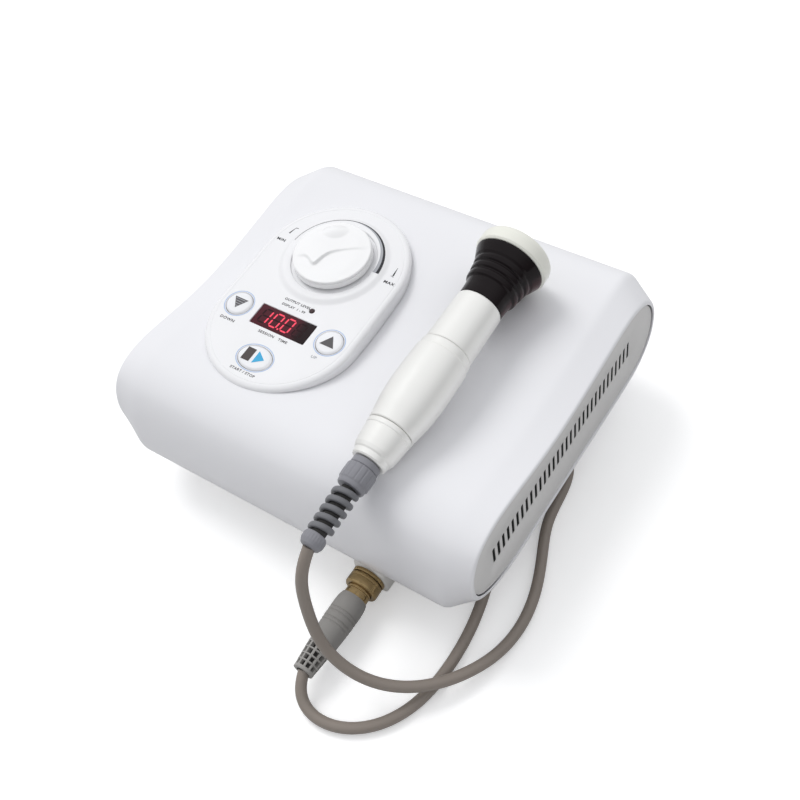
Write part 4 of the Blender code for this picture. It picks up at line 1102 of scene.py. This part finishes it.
relief = bmesh.new()
solid(relief, relief_coil())
core = [-30.5 - 0.8 * k for k in range(34)]
# the core under the coil is near black, painted shade between the turns
tube(relief, [lean(height) + Vector((0, 0, height)) for height in core], 3.75, 28, mat=1)
rows = []
for radius, height in fillet(BEAD):
    cuts = [0.16 if k % 6 == 0 and radius > 5.2 else 0.0 for k in range(144)]
    rows.append([lean(height) + Vector(p) for p in cut_ring(radius, height, cuts)])
solid(relief, rows, 2)
piece('handpiece_strain_relief_look', relief, ['relief_dark', 'core_painted_shade', 'gland_grey'],
      'handpiece', ['handpiece_strain_relief'], HAND, 50)

# ---- front socket and the lead's plug ----------------------------------------
turned('panel_socket', 'brass', [
    (6.2, 5.8), (7.7, 5.8, 0.2), (7.7, 2.0, 0.2), (8.8, 2.0, 0.3), (9.1, 1.6, 0.2), (9.1, 0.3),
    (5.9, 0.3), (5.9, -9.0), (4.6, -9.0), (4.6, 0.9), (6.2, 0.9)],
    body='console', at=PLUG, count=96)

COUPLING = [(8.0, 2.6), (8.75, 2.6, 0.15), (9.0, 2.9, 0.15), (9.0, 3.9, 0.1), (8.75, 4.1, 0.1),
            (8.75, 4.5, 0.1), (9.05, 4.7, 0.15), (9.05, 8.2, 0.3), (8.5, 9.0, 0.3),
            (6.8, 9.1, 0.2), (6.8, 7.3), (8.0, 7.3)]
rows = []
for radius, height in fillet(COUPLING, 3):
    knurled = 4.8 < height < 8.1 and radius > 8.9
    rows.append(cut_ring(radius, height, [0.07 if k % 2 and knurled else 0.0 for k in range(144)]))
coupling = bmesh.new()
skin(coupling, rows, wrap=True)
piece('coupling_ring_look', coupling, 'brass', 'plug_coupling', ['coupling_ring'], PLUG, 30)


def plug_shell():
    """A sleeve with four screws let into its side and six slots near its far end."""
    screw_z = 12.2
    shell = lathe([(4.9, 1.3), (5.9, 1.3), (5.9, 6.1), (7.5, 6.1), (7.5, 7.0), (6.5, 7.0),
                   (6.5, 9.6, 0.1), (6.2, 9.9, 0.1), (6.2, 10.3, 0.1), (6.5, 10.6, 0.1),
                   (6.5, 19.0), (4.9, 19.0)])

    def screw_frame(k, radius):
        return (turn(0.5 + k * math.pi / 2, 4, 'Z') @ move((radius, 0, screw_z))
                @ turn(math.pi / 2, 4, 'Y'))

    holes = bmesh.new()
    for k in range(4):
        bmesh.ops.create_cone(holes, cap_ends=True, segments=32, radius1=1.0, radius2=1.0,
                              depth=6, matrix=screw_frame(k, 6.0))
    for k in range(6):
        slot = (turn(2 * math.pi * k / 6 + 0.2, 4, 'Z') @ move((6.9, 0, 15.6))
                @ Matrix.Diagonal((1.1, 1.0, 3.4, 1.0)))
        bmesh.ops.create_cube(holes, size=1.0, matrix=slot)
    shell = cut_away(shell, holes)
    for k in range(4):
        screw = lathe([(0, -0.3), (0.85, -0.3), (0.85, 0.28, 0.1), (0.0, 0.34)], 24, wrap=False)
        bmesh.ops.transform(screw, matrix=screw_frame(k, 6.05), verts=screw.verts[:])
        join(shell, screw)
    return shell


piece('plug_shell_look', plug_shell(), 'brass', 'lead_plug', ['plug_shell'], PLUG, 30)
turned('plug_body', 'plug_grey', [
    (3.3, 19.4), (6.8, 19.4), (6.8, 14.0), (7.1, 14.0, 0.2), (7.75, 16.6, 1.5), (8.0, 20.0, 3),
    (7.98, 23.6, 0.2), (7.6, 23.9, 0.15), (7.6, 24.3, 0.15), (7.96, 24.6, 0.2),
    (7.95, 25.6, 0.2), (7.58, 25.9, 0.15), (7.58, 26.3, 0.15), (7.92, 26.6, 0.2),
    (7.9, 29.2, 0.2), (7.5, 29.5, 0.15), (7.5, 29.9, 0.15), (7.85, 30.2, 0.2),
    (7.8, 31.2, 0.2), (7.45, 31.5, 0.15), (7.45, 31.9, 0.15), (7.75, 32.2, 0.2),
    (7.6, 35.0, 10), (7.2, 41.2, 0.6), (6.6, 42.2, 0.4), (3.3, 42.2)],
    body='lead_plug', at=PLUG, count=96)

# Lattice strain relief: hoops joined by rows of ribs. Hoop start, end and radius
HOOPS = [(42.6, 44.3, 6.7), (47.0, 47.8, 6.45), (50.3, 51.1, 6.15), (53.5, 54.3, 5.85),
         (56.7, 58.4, 5.55)]
# angle off the rib's middle, and depth
RIB = ((-0.10, 2.4), (-0.10, 0.14), (-0.06, 0.02), (0.06, 0.02), (0.10, 0.14), (0.10, 2.4))
lattice = bmesh.new()
for start, end, radius in HOOPS:
    lathe([(3.6, start), (radius, start, 0.25), (radius - 0.08, end, 0.25), (3.6, end)], 72,
          mesh=lattice)
for near, far in zip(HOOPS, HOOPS[1:]):
    ends = ((near[1] - 0.3, near[2] - 0.12), (far[0] + 0.3, far[2] - 0.05))
    for k in range(10):
        a = 2 * math.pi * k / 10 + 0.15
        solid(lattice, [[((radius - depth) * math.cos(a + off),
                          (radius - depth) * math.sin(a + off), height) for off, depth in RIB]
                        for height, radius in ends])
# the core inside the hoops is near black, painted shade in the windows between the ribs
lathe([(3.2, 42.6), (3.9, 42.6), (3.7, 58.3), (3.2, 58.3)], 40, mesh=lattice, mat=1)
piece('plug_strain_relief_look', lattice, ['relief_grey', 'core_painted_shade'], 'lead_plug',
      ['plug_strain_relief'], PLUG, 40)

# ---- lead, as points (x, y, z) along its middle ------------------------------
LEAD_R = 2.9
lead_end = HAND @ (Vector((0, 0, BEAD_END)) + lean(BEAD_END))
FROM_PLUG = [
    (SOCKET_X, SOCKET_Y - 57.2, SOCKET_Z), (SOCKET_X, SOCKET_Y - 60.0, 13.5),
    (48.5, -160.5, 11.2), (51, -165, 6), (57, -168.2, 3.6), (66, -169, 3.3), (77, -166.5, 3.3),
    (87, -160, 3.3), (95, -151, 3.3), (101, -139, 3.3), (104, -125, 3.3), (105, -106, 3.3),
    (103.5, -88, 3.3), (99, -68, 3.3), (89, -38, 3.3), (81, -12, 3.3), (80, 8, 3.3)]
TO_HANDPIECE = [
    (80, 8, 3.3), (86, 21, 3.3), (95, 24, 3.3), (103, 15, 3.3), (106, -2, 3.3), (107, -20, 3.3),
    (114.5, -38, 3.3), (122, -58, 3.3), (125, -78, 3.6), (123, -96, 5), (117, -111, 7.5),
    (109, -124, 10.6), (99, -134.5, 13.5), (87, -142, 17.5), (75, -146, 24), (63, -146.5, 33),
    (55.2, -144.3, 43), (51.0, -140.6, 54), (48.5, -137.9, 65), (47.7, -135.4, 76),
    (47.4, -131.6, 84.0), (lead_end.x - 0.1, lead_end.y - 3.6, lead_end.z - 1.1),
    tuple(lead_end)]
# name, points, a body, and where a hold starts and ends; the body and the hold are not used
for name, way, body, start, end in (
        ('lead_from_plug', FROM_PLUG, 'lead_plug', (50, -146, 4), (80, -20, 4)),
        ('lead_to_handpiece', TO_HANDPIECE, 'handpiece', (50, -126, 86), (110, -126, 11))):
    lead = bmesh.new()
    tube(lead, relax(open_spline(way, 1.6), 60, closed=False).tolist(), LEAD_R, 28)
    made = piece(name, lead, 'cable_taupe', None, ['cable'], smooth=60)
    (Vector(start) + SHIFT) * MM
    (Vector(end) + SHIFT) * MM
    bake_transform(made)


# ---- rear bay: mains inlet, fuse drawer, rocker switch -----------------------
def mains_inlet():
    # y and trim of each ring, from the inside out
    rings = ((72, 2.4), (REAR_Y + 0.3, 2.4), (REAR_Y + 0.3, 0), (REAR_Y + 1.9, 0),
             (REAR_Y + 2.2, 0.25), (REAR_Y + 2.35, 0.8))
    mesh = bmesh.new()
    solid(mesh, [[(x, y, z) for x, z in
                  rounded_rect(-18, BAY_Z, 38 - trim, 27.2 - trim, 2.2 - trim / 2)]
                 for y, trim in rings])
    outline = [(-25.5, 45.5), (-25.5, 58.5), (-22.0, 62.0), (-7.5, 62.0), (-4.0, 58.5),
               (-4.0, 45.5)]
    cavity = bmesh.new()
    solid(cavity, [[(x, y, z) for x, z in outline] for y in (78, 110)])
    box(cavity, (-33.3, -27.1), (74, 110), (41.1, 62.9))
    mesh = cut_away(mesh, cavity)
    # the three pins
    for x, z in (((-22.0, -20.0), (48.5, 53.0)), ((-9.5, -7.5), (48.5, 53.0)),
                 ((-15.75, -13.75), (54.0, 58.5))):
        box(mesh, x, (76, 92), z, bevel=0.5, mat=1)
    return mesh


piece('mains_inlet_look', mains_inlet(), ['black_plastic', 'steel'], nodes=['mains_inlet'])

drawer = bmesh.new()
box(drawer, (-33.0, -27.4), (89.4, 97.2), (41.4, 62.6), bevel=0.6)
box(drawer, (-33.0, -32.0), (74.6, 90.0), (41.6, 62.4), bevel=0.2, steps=1)
box(drawer, (-33.0, -27.4), (74.6, 82.2), (41.6, 62.4), bevel=0.4, steps=2)
box(drawer, (-31.6, -28.8), (97.0, 98.2), (43.0, 50.0), bevel=0.5)
piece('fuse_drawer_look', drawer, 'black_plastic', 'fuse_carrier', ['fuse_drawer'])

SWITCH_X = 21.5


def switch_frame():
    # y and trim of the outer rings, y and growth of the opening's rings
    outer = [[(*p, y) for p in
              rounded_rect(SWITCH_X, BAY_Z, 17.2 - trim, 23.2 - trim, 1.6 - trim / 2)]
             for y, trim in ((REAR_Y + 2.1, 1.4), (REAR_Y + 2.0, 0.5), (REAR_Y + 1.6, 0.0),
                             (REAR_Y + 0.3, 0.0))]
    opening = [[(*p, y) for p in rounded_rect(SWITCH_X, BAY_Z, 11.2 + grow, 17.6 + grow, 0.6)]
               for y, grow in ((REAR_Y + 2.1, 0.8), (REAR_Y + 1.7, 0.2), (REAR_Y + 1.2, 0.0),
                               (83.0, 0.0))]
    mesh = bmesh.new()
    plate(mesh, outer, [opening], lambda x, z, y: (x, y, z))
    sleeve = rounded_rect(SWITCH_X, BAY_Z, 13.0, 19.2, 0.6)
    verts = skin(mesh, [[(x, y, z) for x, z in sleeve] for y in (REAR_Y + 0.3, 76)])
    close_ring(mesh, verts[1])
    return mesh


piece('switch_frame_look', switch_frame(), 'black_plastic', nodes=['switch_frame'])

ROCKER = move((SWITCH_X, 91.8, BAY_Z)) @ turn(math.radians(10), 4, 'X')
# (z, y[, fillet]) round the rocker's side
ROCKER_SIDE = [(-7.6, 4.9), (-6.8, 5.15, 0.4), (-3.0, 3.75, 8), (0.0, 3.35, 3), (3.0, 3.75, 8),
               (6.8, 5.15, 0.4), (7.6, 4.9, 0.3), (7.4, 0.5, 1), (3.0, -3.6, 1),
               (0.0, -4.6, 2), (-3.0, -3.6, 1), (-7.4, 0.5, 1)]
outline = fillet(ROCKER_SIDE, 4)
rocker = bmesh.new()
solid(rocker, [[(x, y - trim, z * (1 - trim * 0.05)) for z, y in outline]
               for x, trim in ((-5.2, 0.35), (-5.1, 0.1), (-4.9, 0.0), (4.9, 0.0), (5.1, 0.1),
                               (5.2, 0.35))])
piece('rocker_switch_look', rocker, 'black_plastic', 'power_rocker', ['rocker_switch'],
      ROCKER)


def rocker_face(z):
    """y just off the rocker's dished face."""
    return float(np.interp(abs(z), [0, 3.0, 6.8], [3.42, 3.82, 5.2])) + 0.03


# A ring on the lower half and a bar on the upper
marks = bmesh.new()
flat_ring(marks, 1.15, 1.6, count=40)
for vert in marks.verts:
    z = vert.co.y - 4.9
    vert.co = Vector((vert.co.x, rocker_face(z), z))
# The bar keeps to the face's height at each end, though z = 0 is not on it
bar = [(-0.25, 3.4), (0.25, 3.4), (0.25, 6.4), (-0.25, 6.4)]
marks.faces.new([marks.verts.new((x, rocker_face(z), z)) for x, z in bar])
piece('rocker_marks', marks, 'mark_white', 'power_rocker', at=ROCKER,
      recalc=False)

# ---- the CAD nodes that keep their shape take the finish of their slot -------
slots = {part['node']: part['material_slot'] for part in frame['record']['subparts']}
for name, node in frame['nodes'].items():
    node.data.materials.clear()
    node.data.materials.append(LOOK.get(slots.get(name), LOOK['black_plastic']))
    for polygon in node.data.polygons:
        polygon.material_index = 0


# ---- floor, light, camera ----------------------------------------------------
def floor_finish():
    """Brighter to the eye than as a reflector, so the underside stays in shade."""
    glow_strength = 0.30
    mat = finish('floor_white', colour=(0.92, 0.92, 0.92), rough=0.85, vary=0.004,
                 glow=(1.0, 1.0, 1.0), glow_strength=glow_strength, level=0.1)
    tree, bsdf = mat.node_tree, principled(mat)
    seen = add_node(tree, 'LightPath').outputs['Is Camera Ray']
    bright = add_node(tree, 'Math', {1: glow_strength, 0: seen}, operation='MULTIPLY')
    tone = bsdf.inputs['Base Color'].links[0].from_socket
    dim = add_node(tree, 'Mix', {'A': (0.68, 0.68, 0.68, 1), 'B': tone, 'Factor': seen},
                   data_type='RGBA')
    feed(tree, bsdf, {'Emission Strength': bright.outputs['Value'],
                      'Base Color': dim.outputs['Result']})
    return mat


floor_data = bpy.data.meshes.new('floor')
floor_data.from_pydata([(-6, -6, 0), (6, -6, 0), (6, 6, 0), (-6, 6, 0)], [], [(0, 1, 2, 3)])
floor = bpy.data.objects.new('floor', floor_data)
bpy.context.scene.collection.objects.link(floor)
floor.location = (0, 0, -0.0002)
floor_data.materials.append(floor_finish())


def light_world(tree):
    """Plain white to the camera; to the product, light that grows towards the upper left."""
    tree.nodes.clear()
    coords = add_node(tree, 'TexCoord').outputs['Generated']
    facing = add_node(tree, 'VectorMath', {
        1: Vector((-0.24, 0.14, 1.0)).normalized(), 0: coords}, operation='DOT_PRODUCT')
    ramp = add_node(tree, 'MapRange', {
        'From Min': -0.35, 'From Max': 0.95, 'To Min': 0.24, 'To Max': 0.88,
        'Value': facing.outputs['Value']}, interpolation_type='SMOOTHSTEP')
    seen = add_node(tree, 'LightPath').outputs['Is Camera Ray']
    soft = add_node(tree, 'Background', {
        'Color': (0.97, 0.98, 1.0, 1), 'Strength': ramp.outputs['Result']})
    plain = add_node(tree, 'Background', {'Color': (1, 1, 1, 1), 'Strength': 1.0})
    mixer = add_node(tree, 'MixShader', {
        'Fac': seen, 1: soft.outputs['Background'], 2: plain.outputs['Background']})
    add_node(tree, 'OutputWorld', {'Surface': mixer.outputs['Shader']})


world = bpy.data.worlds.new('studio')
bpy.context.scene.world = world
world.use_nodes = True
light_world(world.node_tree)

sun = bpy.data.lights.new('key', 'SUN')
sun.energy = 1.02
sun.angle = math.radians(26)
sun.color = (1.0, 0.995, 0.98)
key = bpy.data.objects.new('key', sun)
bpy.context.scene.collection.objects.link(key)
key.rotation_euler = Vector((0.62, -0.22, -1.0)).to_track_quat('-Z', 'Y').to_euler()
key.visible_glossy = False

# The camera looks down from the front right
CAMERA_PLACE = Vector((256.95, -271.13, 509.96))
CAMERA_AXES = (
    Vector((0.82997, 0.54301, -0.12759)),       # right
    Vector((-0.37638, 0.71401, 0.59036)),       # up
    Vector((0.41168, -0.44196, 0.79699)),       # back
)
camera_data = bpy.data.cameras.new('camera')
camera_data.lens = 49.66
camera_data.sensor_width = 36.0
camera = bpy.data.objects.new('camera', camera_data)
bpy.context.scene.collection.objects.link(camera)
camera_matrix = Matrix(CAMERA_AXES).transposed().to_4x4()
camera_matrix.translation = (CAMERA_PLACE + SHIFT) * MM
camera.matrix_world = camera_matrix
bpy.context.scene.camera = camera
bpy.context.scene.view_settings.view_transform = 'Standard'
bpy.context.scene.view_settings.look = 'None'
